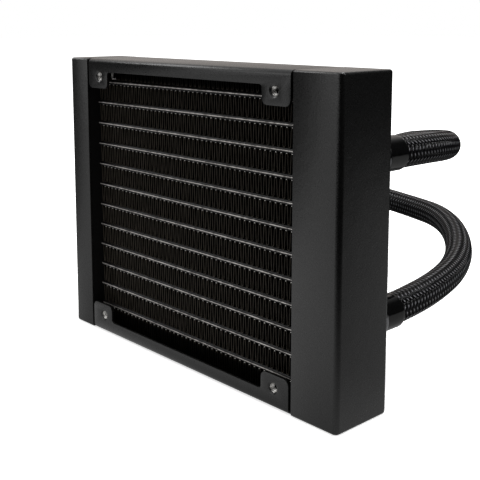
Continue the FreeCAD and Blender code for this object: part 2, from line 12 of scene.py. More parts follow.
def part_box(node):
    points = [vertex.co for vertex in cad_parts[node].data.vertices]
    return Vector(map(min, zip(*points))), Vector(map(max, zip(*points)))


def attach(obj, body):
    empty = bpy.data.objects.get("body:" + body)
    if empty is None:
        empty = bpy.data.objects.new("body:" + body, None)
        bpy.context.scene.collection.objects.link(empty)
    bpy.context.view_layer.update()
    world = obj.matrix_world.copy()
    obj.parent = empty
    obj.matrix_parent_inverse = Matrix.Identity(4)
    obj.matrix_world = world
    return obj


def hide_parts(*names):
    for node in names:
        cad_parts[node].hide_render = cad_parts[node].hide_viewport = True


bl_info = {
    "name": "Liquid cooler finish",
    "version": (1, 0, 0),
    "blender": (4, 5, 0),
    "location": "View3D > Sidebar > Cooler",
    "description": "Finishes the radiator, hoses and pump head of a liquid cooler",
    "category": "Object",
}

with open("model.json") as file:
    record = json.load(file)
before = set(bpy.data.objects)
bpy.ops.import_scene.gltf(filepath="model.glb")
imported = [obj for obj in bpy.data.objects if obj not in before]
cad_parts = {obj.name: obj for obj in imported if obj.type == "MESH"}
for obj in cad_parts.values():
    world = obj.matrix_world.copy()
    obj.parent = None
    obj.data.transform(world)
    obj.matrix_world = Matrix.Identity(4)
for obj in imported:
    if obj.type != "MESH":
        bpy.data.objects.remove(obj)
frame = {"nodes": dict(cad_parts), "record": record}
MM = 0.001
ROOT_BODY = "cooler"
TUBE_NODES = sorted(name for name in frame["nodes"] if name.startswith("flat_tube"))
FIN_NODES = sorted(name for name in frame["nodes"] if name.startswith("fin_row"))
PLATE_NODES = ("top_side_plate", "bottom_side_plate")
MOUNTS = {mount["name"]: mount for mount in frame["record"]["mounts"]}

# The two hose routes, from the radiator's port to the pump's elbow, point by point as the solids have them.
UPPER_ROUTE = [
    (0.071, 0.015, 0.0892),
    (0.071, 0.044, 0.0892),
    (0.061, 0.080, 0.086),
    (0.033, 0.110, 0.0815),
    (-0.004, 0.130, 0.075),
    (-0.042, 0.140, 0.0555),
    (-0.078, 0.143, 0.038),
    (-0.110, 0.143, 0.038),
]
LOWER_ROUTE = [
    (0.071, 0.015, 0.0308),
    (0.071, 0.046, 0.0308),
    (0.056, 0.100, 0.0325),
    (0.018, 0.147, 0.037),
    (-0.028, 0.170, 0.035),
    (-0.074, 0.173, 0.038),
    (-0.110, 0.173, 0.038),
]
ROUTES = {"upper": UPPER_ROUTE, "lower": LOWER_ROUTE}


def linear(code):
    """An sRGB hex colour as linear red, green, blue and alpha."""
    channels = [int(code[i:i + 2], 16) / 255 for i in (1, 3, 5)]
    return tuple(c / 12.92 if c <= 0.04045 else ((c + 0.055) / 1.055) ** 2.4 for c in channels) + (1.0,)


# What every colour setting says.
COLOUR = {"subtype": "COLOR", "size": 4, "min": 0, "max": 1}
# How high the grain and ripple of the stoving paint stand together.
PAINT_RELIEF = 0.045 * MM


# Settings


class CoolerPaintSettings(bpy.types.PropertyGroup):
    paint: FloatVectorProperty(
        name="Tank paint",
        description="Black stoving paint on the tanks and side plates",
        default=linear("#0b0b0b"),
        **COLOUR,
    )
    fin_paint: FloatVectorProperty(
        name="Fin paint",
        description="Thin black paint on the folded fin sheet",
        default=linear("#3c3832"),
        **COLOUR,
    )
    # Painted highlight: the light grey of the line along each flat tube's nose tip.
    tube_nose_highlight: FloatVectorProperty(
        name="Tube nose",
        description="Grey of the flat tubes' bare rounded noses",
        default=linear("#cac6c2"),
        **COLOUR,
    )
    edge_break: FloatProperty(
        name="Edge break",
        description="Radius that the press tool and the paint leave on cut sheet edges",
        unit="LENGTH",
        default=0.3 * MM,
        min=0,
    )


class CoolerCoreSettings(bpy.types.PropertyGroup):
    fin_pitch: FloatProperty(
        name="Fin pitch",
        description="Length of one full wave of the folded fin sheet",
        unit="LENGTH",
        default=2.65 * MM,
        min=0.5 * MM,
    )
    crest_radius: FloatProperty(
        name="Crest radius",
        description="Radius of the sheet's folds where they touch the tubes",
        unit="LENGTH",
        default=0.5 * MM,
        min=0.05 * MM,
    )
    fin_sheet: FloatProperty(
        name="Fin sheet",
        description="Thickness of the folded sheet with its paint",
        unit="LENGTH",
        default=0.12 * MM,
        min=0.02 * MM,
    )
    louvre_pitch: FloatProperty(
        name="Louvre pitch",
        description="Distance between the slats lanced in each leg of the sheet",
        unit="LENGTH",
        default=1.15 * MM,
        min=0.3 * MM,
    )
    louvre_turn: FloatProperty(
        name="Louvre turn",
        description="Angle that each slat is turned out of its leg",
        subtype="ANGLE",
        default=math.radians(26),
    )


class CoolerHoseSettings(bpy.types.PropertyGroup):
    diameter: FloatProperty(
        name="Hose diameter",
        description="Outer diameter over the braid",
        unit="LENGTH",
        default=11.8 * MM,
        min=2 * MM,
    )
    strands: IntProperty(
        name="Strands each way",
        description="Braid strands that wind round the hose in each direction",
        default=16,
        min=6,
    )
    lay_angle: FloatProperty(
        name="Lay angle",
        description="Angle between a braid strand and the hose's line",
        subtype="ANGLE",
        default=math.radians(44),
    )
    braid_colour: FloatVectorProperty(
        name="Braid",
        description="Black polyester yarn",
        default=linear("#040405"),
        **COLOUR,
    )


class CoolerPumpSettings(bpy.types.PropertyGroup):
    plastic: FloatVectorProperty(
        name="Pump plastic",
        description="Black moulded plastic of the pump block, cover and elbows",
        default=linear("#131314"),
        **COLOUR,
    )
    edge_break: FloatProperty(
        name="Moulded edge",
        description="Radius on the pump head's moulded edges",
        unit="LENGTH",
        default=0.45 * MM,
        min=0,
    )


class CoolerStageSettings(bpy.types.PropertyGroup):
    camera_place: FloatVectorProperty(
        name="Camera place",
        description="Where the camera stands in the part's frame",
        subtype="TRANSLATION",
        unit="LENGTH",
        default=(258.7 * MM, -219.8 * MM, 135.6 * MM),
    )
    camera_turn: FloatProperty(
        name="Camera turn",
        description="Angle that the camera looks to the left of the radiator's depth",
        subtype="ANGLE",
        default=math.radians(47.23),
    )
    camera_tilt: FloatProperty(
        name="Camera tilt",
        description="Angle that the camera looks below the horizon",
        subtype="ANGLE",
        default=math.radians(7.77),
    )
    lens: FloatProperty(
        name="Lens",
        description="Focal length in millimetres",
        default=65.09,
        min=10,
    )
    lens_shift: FloatProperty(
        name="Lens shift",
        description="Vertical shift that keeps the radiator's uprights nearly upright",
        default=-0.2083,
    )
    floor_colour: FloatVectorProperty(
        name="Floor",
        description="Pale floor",
        default=linear("#f4f4f4"),
        **COLOUR,
    )
    key_power: FloatProperty(
        name="Key light",
        description="Power of the large soft light at the front left, in watts",
        default=2.5,
        min=0,
    )
    top_power: FloatProperty(
        name="Top light",
        description="Power of the soft light overhead, in watts",
        default=4.0,
        min=0,
    )
    rim_power: FloatProperty(
        name="Rim light",
        description="Power of the strip light above the hoses, in watts",
        default=7.0,
        min=0,
    )


# Nodes and materials


def add_node(tree, kind, inputs=(), **settings):
    """Add a node, set its attributes, and give its inputs values or links, by name or in order.

    A node given as a value stands for its first output in use.
    """
    node = tree.nodes.new(kind)
    for name, value in settings.items():
        setattr(node, name, value)
    if not isinstance(inputs, dict):
        in_use = [index for index, socket in enumerate(node.inputs) if socket.enabled]
        inputs = dict(zip(in_use, inputs))
    for key, value in inputs.items():
        if isinstance(value, bpy.types.Node):
            value = next(socket for socket in value.outputs if socket.enabled)
        if isinstance(value, bpy.types.NodeSocket):
            tree.links.new(value, node.inputs[key])
        else:
            node.inputs[key].default_value = value
    return node


def emptied(owner):
    """The node tree of a material or a world, without its nodes."""
    owner.use_nodes = True
    owner.node_tree.nodes.clear()
    return owner.node_tree


def start_finish(name):
    """A new material, its empty tree and its object coordinates."""
    material = bpy.data.materials.new(name)
    tree = emptied(material)
    return material, tree, add_node(tree, "ShaderNodeTexCoord").outputs["Object"]


def end_finish(material, inputs, height=None, depth=None):
    """Feed one principled shader; where height is 1 the surface is raised by depth metres."""
    tree = material.node_tree
    if depth is not None:
        inputs["Normal"] = add_node(tree, "ShaderNodeBump", {"Height": height, "Distance": depth})
    shader = add_node(tree, "ShaderNodeBsdfPrincipled", inputs)
    add_node(tree, "ShaderNodeOutputMaterial", {"Surface": shader})
    return material


def shared(maker):
    """The material that a maker function describes, made once."""
    return bpy.data.materials.get(maker.__name__) or maker(maker.__name__)


def ridges(tree, distance, pitch):
    """Smooth ridges from 0 to 1, a pitch apart along a distance."""
    angle = add_node(tree, "ShaderNodeMath", (distance, 2 * math.pi / pitch), operation="MULTIPLY")
    sine = add_node(tree, "ShaderNodeMath", (angle,), operation="SINE")
    return add_node(tree, "ShaderNodeMapRange", (sine, -1.0, 1.0, 0.0, 1.0))


def from_middle_height(tree, height):
    """Distance above or below the radiator's middle."""
    middle = MOUNTS["front_fan_holes"]["pos_m"][2]
    above = add_node(tree, "ShaderNodeMath", (height, middle), operation="SUBTRACT")
    return add_node(tree, "ShaderNodeMath", (above,), operation="ABSOLUTE")


def paint_surface(tree, place):
    """Stoving paint: a fine sandy grain on a slow ripple, a little glossier on the grain's tops."""
    grain_size = 0.55 * MM
    ripple_size = 6 * MM
    grain_inputs = {"Vector": place, "Scale": 1 / grain_size, "Detail": 3.0, "Roughness": 0.6}
    grain = add_node(tree, "ShaderNodeTexNoise", grain_inputs)
    ripple = add_node(tree, "ShaderNodeTexNoise", {"Vector": place, "Scale": 1 / ripple_size, "Detail": 1.0})
    base = tuple(bpy.context.scene.cooler_paint.paint)[:3]
    shade = add_node(tree, "ShaderNodeMapRange", (grain, 0.3, 0.7, 0.82, 1.18))
    colour = add_node(tree, "ShaderNodeVectorMath", (base, shade), operation="SCALE")
    roughness = add_node(tree, "ShaderNodeMapRange", (grain, 0.25, 0.75, 0.34, 0.24))
    swell = add_node(tree, "ShaderNodeMath", (ripple, 1.6), operation="MULTIPLY")
    height = add_node(tree, "ShaderNodeMath", (grain, swell), operation="ADD")
    return {"IOR": 1.5, "Base Color": colour, "Roughness": roughness}, height


def satin_black_paint(name):
    """Black stoving paint sprayed on pressed aluminium: satin, with a fine sandy grain."""
    material, tree, place = start_finish(name)
    inputs, height = paint_surface(tree, place)
    return end_finish(material, inputs, height, PAINT_RELIEF)


def drilled_black_paint(name):
    """The same paint, scraped to bare aluminium in the bores of the fan screw holes."""
    bare_from = 1.82 * MM
    bare_to = 1.74 * MM
    raggedness = 0.25 * MM
    material, tree, place = start_finish(name)
    inputs, height = paint_surface(tree, place)
    spacing = MOUNTS["front_fan_holes"]["dims"]["spacing_x_mm"] * MM / 2
    parts = add_node(tree, "ShaderNodeSeparateXYZ", (place,))
    sideways = add_node(tree, "ShaderNodeMath", (parts.outputs[0],), operation="ABSOLUTE")
    across = add_node(tree, "ShaderNodeMath", (sideways, spacing), operation="SUBTRACT")
    upwards = from_middle_height(tree, parts.outputs[2])
    above = add_node(tree, "ShaderNodeMath", (upwards, spacing), operation="SUBTRACT")
    offset = add_node(tree, "ShaderNodeCombineXYZ", (across, above))
    distance = add_node(tree, "ShaderNodeVectorMath", (offset,), operation="LENGTH")
    chips = add_node(tree, "ShaderNodeTexNoise", {"Vector": place, "Scale": 1 / (0.7 * MM)})
    ragged = add_node(tree, "ShaderNodeMath", (chips, raggedness), operation="MULTIPLY")
    edge = add_node(tree, "ShaderNodeMath", (distance, ragged), operation="ADD")
    bare = add_node(tree, "ShaderNodeMapRange", (edge, bare_from, bare_to, 0.0, 1.0))
    mixed = (bare, inputs["Base Color"], linear("#d8d6d2"))
    inputs["Base Color"] = add_node(tree, "ShaderNodeMix", mixed, data_type="RGBA")
    inputs["Metallic"] = bare
    return end_finish(material, inputs, height, PAINT_RELIEF)


def fin_paint_with_painted_shade(name):
    """Thin paint on folded aluminium, brownish at the front edges; painted shade makes it black inside the
    core and in the outer rows next to the side plates.
    """
    # Painted shade: from these depths inward, away from its front edges, the sheet is coloured near black.
    recess_shade_full = 7.3 * MM
    recess_shade_clear = 7.45 * MM
    # Painted shade: the outer rows, next to the side plates' flanges, keep only this share of their colour.
    row_shade_from = 51 * MM
    row_shade_full = 52 * MM
    shaded_row_share = 0.12
    material, tree, place = start_finish(name)
    patches = add_node(tree, "ShaderNodeTexNoise", {"Vector": place, "Scale": 1 / (4 * MM)})
    tone = add_node(tree, "ShaderNodeMapRange", (patches, 0.35, 0.7, 0.0, 1.0))
    base = tuple(bpy.context.scene.cooler_paint.fin_paint)
    brown = add_node(tree, "ShaderNodeMix", (tone, base, linear("#4c4740")), data_type="RGBA")
    parts = add_node(tree, "ShaderNodeSeparateXYZ", (place,))
    depth = add_node(tree, "ShaderNodeMath", (parts.outputs[1],), operation="ABSOLUTE")
    front = add_node(tree, "ShaderNodeMapRange", (depth, recess_shade_full, recess_shade_clear, 0.0, 1.0))
    height = from_middle_height(tree, parts.outputs[2])
    rows = add_node(tree, "ShaderNodeMapRange", (height, row_shade_from, row_shade_full, 1.0, shaded_row_share))
    # Near black where this is 0: painted shade for the recess and for the outer rows.
    unshaded_share = add_node(tree, "ShaderNodeMath", (front, rows), operation="MULTIPLY")
    inputs = {
        "IOR": 1.5,
        "Specular IOR Level": 0.08,
        "Base Color": add_node(tree, "ShaderNodeMix", (unshaded_share, linear("#020202"), brown), data_type="RGBA"),
        "Roughness": add_node(tree, "ShaderNodeMapRange", (patches, 0.3, 0.7, 0.3, 0.5)),
    }
    grain = add_node(tree, "ShaderNodeTexNoise", {"Vector": place, "Scale": 1 / (0.4 * MM)})
    return end_finish(material, inputs, grain, 0.01 * MM)


def tube_nose_painted_highlight(name):
    """Painted flat tube with a painted highlight: a line coloured like dull bare aluminium along the very
    tip of its nose.
    """
    material, tree, place = start_finish(name)
    strip = add_node(tree, "ShaderNodeUVMap", uv_map="nose")
    parts = add_node(tree, "ShaderNodeSeparateXYZ", (strip,))
    height = add_node(tree, "ShaderNodeMath", (parts.outputs[1],), operation="ABSOLUTE")
    stain_inputs = {"Vector": place, "Scale": 1 / (2.2 * MM), "Detail": 4.0, "Roughness": 0.65}
    stains = add_node(tree, "ShaderNodeTexNoise", stain_inputs)
    waver = add_node(tree, "ShaderNodeMapRange", (stains, 0.3, 0.7, -0.08, 0.08))
    edge = add_node(tree, "ShaderNodeMath", (height, waver), operation="ADD")
    # Painted highlight: a thin wavering line along the nose tip is coloured light grey metal.
    highlight_line = add_node(tree, "ShaderNodeMapRange", (edge, 0.22, 0.1, 0.0, 1.0))
    base = tuple(bpy.context.scene.cooler_paint.tube_nose_highlight)
    tone = add_node(tree, "ShaderNodeMapRange", (stains, 0.45, 0.75, 0.0, 1.0))
    highlight_colour = add_node(tree, "ShaderNodeMix", (tone, base, linear("#8a8683")), data_type="RGBA")
    inputs = {
        "Specular IOR Level": 0.2,
        "Base Color": add_node(tree, "ShaderNodeMix", (highlight_line, linear("#060505"), highlight_colour), data_type="RGBA"),
        "Metallic": add_node(tree, "ShaderNodeMapRange", (highlight_line, 0.0, 1.0, 0.0, 0.4)),
        "Roughness": add_node(tree, "ShaderNodeMapRange", (stains, 0.3, 0.7, 0.35, 0.55)),
    }
    grain = add_node(tree, "ShaderNodeTexNoise", {"Vector": place, "Scale": 1 / (0.35 * MM)})
    return end_finish(material, inputs, grain, 0.03 * MM)


def mottled(name, size, colours, roughness, inputs, depth=None, detail=2.0, harshness=0.5):
    """A finish whose tone, gloss and height all follow the same grains, about size metres across."""
    material, tree, place = start_finish(name)
    grain_inputs = {"Vector": place, "Scale": 1 / size, "Detail": detail, "Roughness": harshness}
    grain = add_node(tree, "ShaderNodeTexNoise", grain_inputs)
    inputs["Base Color"] = add_node(tree, "ShaderNodeMix", (grain, *colours), data_type="RGBA")
    inputs["Roughness"] = add_node(tree, "ShaderNodeMapRange", (grain, 0.3, 0.7, *roughness))
    return end_finish(material, inputs, grain, depth)


def braze_metal_and_painted_highlight(name):
    """Braze beads: bare and lumpy, bright partly as painted highlight, their near-white colour standing for
    the light that the fin crests catch.
    """
    colours = linear("#c2bfbb"), linear("#f3f1ed")
    return mottled(name, 0.5 * MM, colours, (0.25, 0.45), {"Metallic": 0.4})


def torn_sheet_painted_glint(name):
    """The torn end of a fin sheet: bare, dull aluminium that scatters light, coloured near white as a
    painted glint.
    """
    colours = linear("#cfccc8"), linear("#f1efec")
    return mottled(name, 0.3 * MM, colours, (0.5, 0.5), {"Metallic": 0.1})


def core_black_with_painted_shade(name):
    """Black paint that settled matte inside the core, on the header plates and divider, a little darker than
    the tanks' as painted shade for the deep recess.
    """
    colours = linear("#060606"), linear("#0d0c0c")
    inputs = {"IOR": 1.5, "Specular IOR Level": 0.2}
    return mottled(name, 1.2 * MM, colours, (0.55, 0.75), inputs, 0.02 * MM, 3.0)


def cut_thread_metal(name):
    """Freshly tapped aluminium: bright, with fine tool marks round each turn."""
    colours = linear("#b9b7b4"), linear("#f2f1ee")
    return mottled(name, 0.18 * MM, colours, (0.16, 0.34), {"Metallic": 0.75}, 0.01 * MM)


def hose_rubber(name):
    """Extruded rubber tube under the braid: dull black with a faint bloom."""
    colours = linear("#080808"), linear("#121213")
    inputs = {"IOR": 1.5, "Specular IOR Level": 0.15}
    return mottled(name, 2 * MM, colours, (0.55, 0.8), inputs, detail=3.0)


def shrunk_sleeve(name):
    """Heat-shrunk polyolefin sleeve: smooth glossy black that shows the braid under it a little."""
    colours = linear("#050505"), linear("#0a0a0b")
    inputs = {"IOR": 1.5, "Specular IOR Level": 0.3}
    return mottled(name, 2.4 * MM, colours, (0.06, 0.14), inputs, 0.04 * MM)


def black_nickel(name):
    """Turned and plated metal: a dark mirror with faint cloudy stains."""
    colours = linear("#28282b"), linear("#38383b")
    return mottled(name, 0.5 * MM, colours, (0.1, 0.2), {"Metallic": 1.0})


def polyester_braid(name):
    """Braided polyester yarn: bundles of glossy filaments, coloured paler as a painted sheen where a stitch
    stands proud.
    """
    filaments = 7
    material, tree, place = start_finish(name)
    strip = add_node(tree, "ShaderNodeUVMap", uv_map="strand")
    across, lift = add_node(tree, "ShaderNodeSeparateXYZ", (strip,)).outputs[:2]
    tone = add_node(tree, "ShaderNodeTexNoise", {"Vector": place, "Scale": 1 / (0.9 * MM)})
    base = tuple(bpy.context.scene.cooler_hose.braid_colour)
    dust = add_node(tree, "ShaderNodeMapRange", (tone, 0.35, 0.7, 0.0, 1.0))
    yarn = add_node(tree, "ShaderNodeMix", (dust, base, linear("#0d0d0f")), data_type="RGBA")
    offset = add_node(tree, "ShaderNodeMath", (across, 0.5), operation="SUBTRACT")
    from_middle = add_node(tree, "ShaderNodeMath", (offset,), operation="ABSOLUTE")
    # Painted sheen: the middle of each proud stitch is coloured pale grey.
    proud = add_node(tree, "ShaderNodeMapRange", (lift, 0.75, 1.0, 0.0, 1.0))
    middle = add_node(tree, "ShaderNodeMapRange", (from_middle, 0.15, 0.35, 1.0, 0.0))
    painted_sheen = add_node(tree, "ShaderNodeMath", (proud, middle), operation="MULTIPLY")
    inputs = {
        "IOR": 1.57,
        "Specular IOR Level": 0.07,
        "Base Color": add_node(tree, "ShaderNodeMix", (painted_sheen, yarn, linear("#86868a")), data_type="RGBA"),
        "Roughness": add_node(tree, "ShaderNodeMapRange", (tone, 0.3, 0.7, 0.09, 0.18)),
    }
    return end_finish(material, inputs, ridges(tree, across, 1 / filaments), 0.025 * MM)


def grained(name, size, dark, light, roughness, depth):
    """An even fine grain, glossier on its tops, as a spark-eroded mould, a coating or a press leaves."""
    spread = 0.06
    gloss = (roughness + spread, roughness - spread)
    return mottled(name, size, (dark, light), gloss, {"IOR": 1.53}, depth, 3.0, 0.6)


def grained_block_plastic(name):
    """The pump block's glass-filled plastic, matte, with a fine spark-eroded grain."""
    base = tuple(bpy.context.scene.cooler_pump.plastic)
    return grained(name, 0.4 * MM, base, linear("#242426"), 0.52, 0.03 * MM)


def satin_cover_plastic(name):
    """The pump cover's ABS, a satin grain finer than the block's."""
    base = tuple(bpy.context.scene.cooler_pump.plastic)
    return grained(name, 0.3 * MM, base, linear("#202022"), 0.36, 0.015 * MM)


def glossy_elbow_plastic(name):
    """Polished nylon elbows with a slight flow ripple."""
    base = tuple(bpy.context.scene.cooler_pump.plastic)
    return grained(name, 2.5 * MM, base, linear("#1f1f21"), 0.22, 0.04 * MM)


def coated_steel(name):
    """The bracket's black electro-coat: thin, satin, slightly lighter than the plastic."""
    return grained(name, 0.8 * MM, linear("#1d1d1f"), linear("#2b2b2e"), 0.4, 0.02 * MM)


def soft_rubber(name):
    """Moulded rubber: matte with a dusty bloom."""
    return grained(name, 1.0 * MM, linear("#121213"), linear("#1e1e1f"), 0.75, 0.02 * MM)


def ivory_acetal(name):
    """The impeller's acetal: ivory and waxy."""
    return grained(name, 1.5 * MM, linear("#cfcbbd"), linear("#dedbd0"), 0.38, 0.01 * MM)


def sintered_ferrite(name):
    """Pressed and sintered magnet: dark grey and porous."""
    return grained(name, 0.3 * MM, linear("#2c2c2e"), linear("#414144"), 0.6, 0.04 * MM)


def turned_metal(name, dark, light, roughness, centre, pitch):
    """Metal turned about an upright axis: rings a pitch apart round a centre, under slow stains."""
    material, tree, place = start_finish(name)
    moved = add_node(tree, "ShaderNodeMapping", {"Vector": place, "Location": [-value for value in centre]})
    parts = add_node(tree, "ShaderNodeSeparateXYZ", (moved,))
    flat = add_node(tree, "ShaderNodeCombineXYZ", parts.outputs[:2])
    radius = add_node(tree, "ShaderNodeVectorMath", (flat,), operation="LENGTH")
    stains = add_node(tree, "ShaderNodeTexNoise", {"Vector": place, "Scale": 1 / (5 * MM), "Detail": 3.0})
    inputs = {
        "Metallic": 1.0,
        "Base Color": add_node(tree, "ShaderNodeMix", (stains, dark, light), data_type="RGBA"),
        "Roughness": add_node(tree, "ShaderNodeMapRange", (stains, 0.3, 0.7, roughness, roughness + 0.12)),
    }
    return end_finish(material, inputs, ridges(tree, radius, pitch), 0.008 * MM)


def pump_centre():
    low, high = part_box("cold_plate")
    return (low + high) / 2


def turned_copper(name):
    """The cold plate's copper, faced on a lathe: rings drawn 0.5 mm apart so that they show."""
    return turned_metal(name, linear("#a8603f"), linear("#d08a66"), 0.22, pump_centre(), 0.5 * MM)


def bare_brass(name):
    """Turned brass stems, dulled by brazing."""
    return turned_metal(name, linear("#8d6b34"), linear("#c9a560"), 0.3, (0, 0, 0), 0.5 * MM)


def ground_steel(name):
    """Ground steel pin and screws: bright, with grinding lines."""
    return turned_metal(name, linear("#a9a9ab"), linear("#d9d9da"), 0.2, pump_centre(), 0.3 * MM)


def layered(name, metallic, dark, light, pitch, roughness):
    """Material in level layers or turns a pitch apart, such as a lamination stack or a winding."""
    material, tree, place = start_finish(name)
    height = add_node(tree, "ShaderNodeSeparateXYZ", (place,)).outputs[2]
    tone = ridges(tree, height, pitch)
    inputs = {
        "Metallic": metallic,
        "Base Color": add_node(tree, "ShaderNodeMix", (tone, dark, light), data_type="RGBA"),
        "Roughness": add_node(tree, "ShaderNodeMapRange", (tone, 0.0, 1.0, roughness + 0.1, roughness)),
    }
    return end_finish(material, inputs, tone, 0.05 * MM)


def stacked_steel(name):
    """Stamped electrical steel in a stack, 0.5 mm a sheet."""
    return layered(name, 1.0, linear("#3c3c3f"), linear("#77777a"), 0.5 * MM, 0.4)


def enamelled_winding(name):
    """Enamelled copper wire wound in turns 0.4 mm apart."""
    return layered(name, 0.8, linear("#5c2a12"), linear("#b9683a"), 0.4 * MM, 0.25)


def green_board(name):
    """Glass-fibre board under green solder mask, with tracks that show as lighter cells."""
    cell_size = 3 * MM
    material, tree, place = start_finish(name)
    cell_inputs = {"Vector": place, "Scale": 1 / cell_size}
    cells = add_node(tree, "ShaderNodeTexVoronoi", cell_inputs, distance="MANHATTAN")
    tracks = add_node(tree, "ShaderNodeMapRange", (cells, 0.28, 0.32, 0.0, 1.0))
    colours = (tracks, linear("#0f4a2a"), linear("#1c6b3f"))
    inputs = {
        "IOR": 1.5,
        "Roughness": 0.3,
        "Base Color": add_node(tree, "ShaderNodeMix", colours, data_type="RGBA"),
    }
    return end_finish(material, inputs, tracks, 0.02 * MM)


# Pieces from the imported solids


def adopt(piece, slot, *nodes):
    """Let a finished piece ride with the cooler and hide the nodes that it stands for; the slot is not used.
    """
    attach(piece, ROOT_BODY)
    if nodes:
        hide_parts(*nodes)
    return piece


def slot_of(node):
    parts = frame["record"]["subparts"]
    return next(part["material_slot"] for part in parts if part["node"] == node)


def object_from(mesh, name, material):
    mesh.name = name
    mesh.materials.clear()
    mesh.materials.append(material)
    piece = bpy.data.objects.new(name, mesh)
    bpy.context.scene.collection.objects.link(piece)
    return piece


def shade_smooth(mesh, angle=math.radians(32)):
    for polygon in mesh.polygons:
        polygon.use_smooth = True
    mesh.set_sharp_from_angle(angle=angle)


def mesh_of(work, name, angle=None):
    """End a bmesh as a mesh, shaded smooth up to an angle where one is given."""
    mesh = bpy.data.meshes.new(name)
    work.to_mesh(mesh)
    work.free()
    if angle is not None:
        shade_smooth(mesh, angle)
    return mesh


def join_rings(work, rings):
    """Quads from each ring of vertices to the next."""
    for here, there in zip(rings, rings[1:]):
        for i in range(len(here)):
            j = (i + 1) % len(here)
            work.faces.new((here[i], here[j], there[j], there[i]))


def add_rod(work, rings):
    """A closed body through rings of vertices, with a face over each end."""
    join_rings(work, rings)
    work.faces.new(rings[0][::-1])
    work.faces.new(rings[-1])


def applied(piece):
    """Turn a piece's modifiers into its mesh."""
    depsgraph = bpy.context.evaluated_depsgraph_get()
    mesh = bpy.data.meshes.new_from_object(piece.evaluated_get(depsgraph))
    piece.modifiers.clear()
    piece.data = mesh


def dressed(node, maker, edge=0.0):
    """A welded copy of a node with smooth curves and broken edges, which stands for it."""
    mesh = frame["nodes"][node].data.copy()
    if "custom_normal" in mesh.attributes:
        mesh.attributes.remove(mesh.attributes["custom_normal"])
    work = bmesh.new()
    work.from_mesh(mesh)
    bmesh.ops.remove_doubles(work, verts=work.verts, dist=0.002 * MM)
    bmesh.ops.dissolve_limit(work, angle_limit=math.radians(0.4), verts=work.verts, edges=work.edges)
    work.to_mesh(mesh)
    work.free()
    piece = object_from(mesh, node + "_dressed", shared(maker))
    if edge > 0:
        bevel = piece.modifiers.new("broken edges", "BEVEL")
        bevel.width = edge
        bevel.segments = 2
        bevel.angle_limit = math.radians(35)
        bevel.use_clamp_overlap = True
        applied(piece)
    shade_smooth(piece.data)
    return adopt(piece, slot_of(node), node)


def recolour(node, maker):
    """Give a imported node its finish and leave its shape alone."""
    mesh = frame["nodes"][node].data
    mesh.materials.clear()
    mesh.materials.append(shared(maker))


# Geometry node trees


def geometry_tree(name, inputs):
    """An empty tree with a geometry input and output and named inputs for its sizes."""
    tree = bpy.data.node_groups.new(name, "GeometryNodeTree")
    tree.interface.new_socket("Geometry", in_out="INPUT", socket_type="NodeSocketGeometry")
    for label, kind in inputs:
        tree.interface.new_socket(label, in_out="INPUT", socket_type=kind)
    tree.interface.new_socket("Geometry", in_out="OUTPUT", socket_type="NodeSocketGeometry")
    return tree, add_node(tree, "NodeGroupInput").outputs


def end_tree(tree, geometry, material):
    """Realize the instances, set the material and send the result out."""
    real = add_node(tree, "GeometryNodeRealizeInstances", (geometry,))
    painted = add_node(tree, "GeometryNodeSetMaterial", {"Geometry": real, "Material": material})
    add_node(tree, "NodeGroupOutput", {0: painted})


def repeated_along_x(name):
    """Copies of a model mesh in a row along X."""
    inputs = (
        ("Count", "NodeSocketInt"),
        ("Pitch", "NodeSocketFloat"),
        ("Start", "NodeSocketVector"),
        ("Material", "NodeSocketMaterial"),
    )
    tree, given = geometry_tree(name, inputs)
    step = add_node(tree, "ShaderNodeCombineXYZ", (given["Pitch"],))
    row_inputs = {"Count": given["Count"], "Start Location": given["Start"], "Offset": step}
    row = add_node(tree, "GeometryNodeMeshLine", row_inputs)
    copies = add_node(tree, "GeometryNodeInstanceOnPoints", {"Points": row, "Instance": given["Geometry"]})
    end_tree(tree, copies, given["Material"])
    return tree


def set_in_pattern(name):
    """Copies of a model mesh at the corners of a rectangle that stands across Y, all turned alike."""
    inputs = (
        ("Width", "NodeSocketFloat"),
        ("Height", "NodeSocketFloat"),
        ("Centre", "NodeSocketVector"),
        ("Turn", "NodeSocketVector"),
        ("Material", "NodeSocketMaterial"),
    )
    tree, given = geometry_tree(name, inputs)
    grid_inputs = {"Size X": given["Width"], "Size Y": given["Height"], "Vertices X": 2, "Vertices Y": 2}
    grid = add_node(tree, "GeometryNodeMeshGrid", grid_inputs)
    stand_inputs = {"Geometry": grid, "Translation": given["Centre"], "Rotation": (math.pi / 2, 0, 0)}
    upright = add_node(tree, "GeometryNodeTransform", stand_inputs)
    turn = add_node(tree, "FunctionNodeEulerToRotation", (given["Turn"],))
    copy_inputs = {"Points": upright, "Instance": given["Geometry"], "Rotation": turn}
    copies = add_node(tree, "GeometryNodeInstanceOnPoints", copy_inputs)
    end_tree(tree, copies, given["Material"])
    return tree


def grown(tree_maker, model, name, material, **values):
    """The plain mesh object that a tree makes from a model mesh and its named inputs."""
    tree = bpy.data.node_groups.get(tree_maker.__name__) or tree_maker(tree_maker.__name__)
    piece = object_from(model.copy(), name, material)
    modifier = piece.modifiers.new("grow", "NODES")
    modifier.node_group = tree
    named = {item.name: item.identifier for item in tree.interface.items_tree if item.in_out == "INPUT"}
    modifier[named["Material"]] = material
    for label, value in values.items():
        modifier[named[label]] = value
    applied(piece)
    piece.data.name = name
    return piece


# Fin core


def arc_points(centre, radius, start, end, count):
    """Points on an arc in the XZ plane."""
    return [
        (
            centre[0] + radius * math.cos(start + (end - start) * i / count),
            centre[1] + radius * math.sin(start + (end - start) * i / count),
        )
        for i in range(count + 1)
    ]


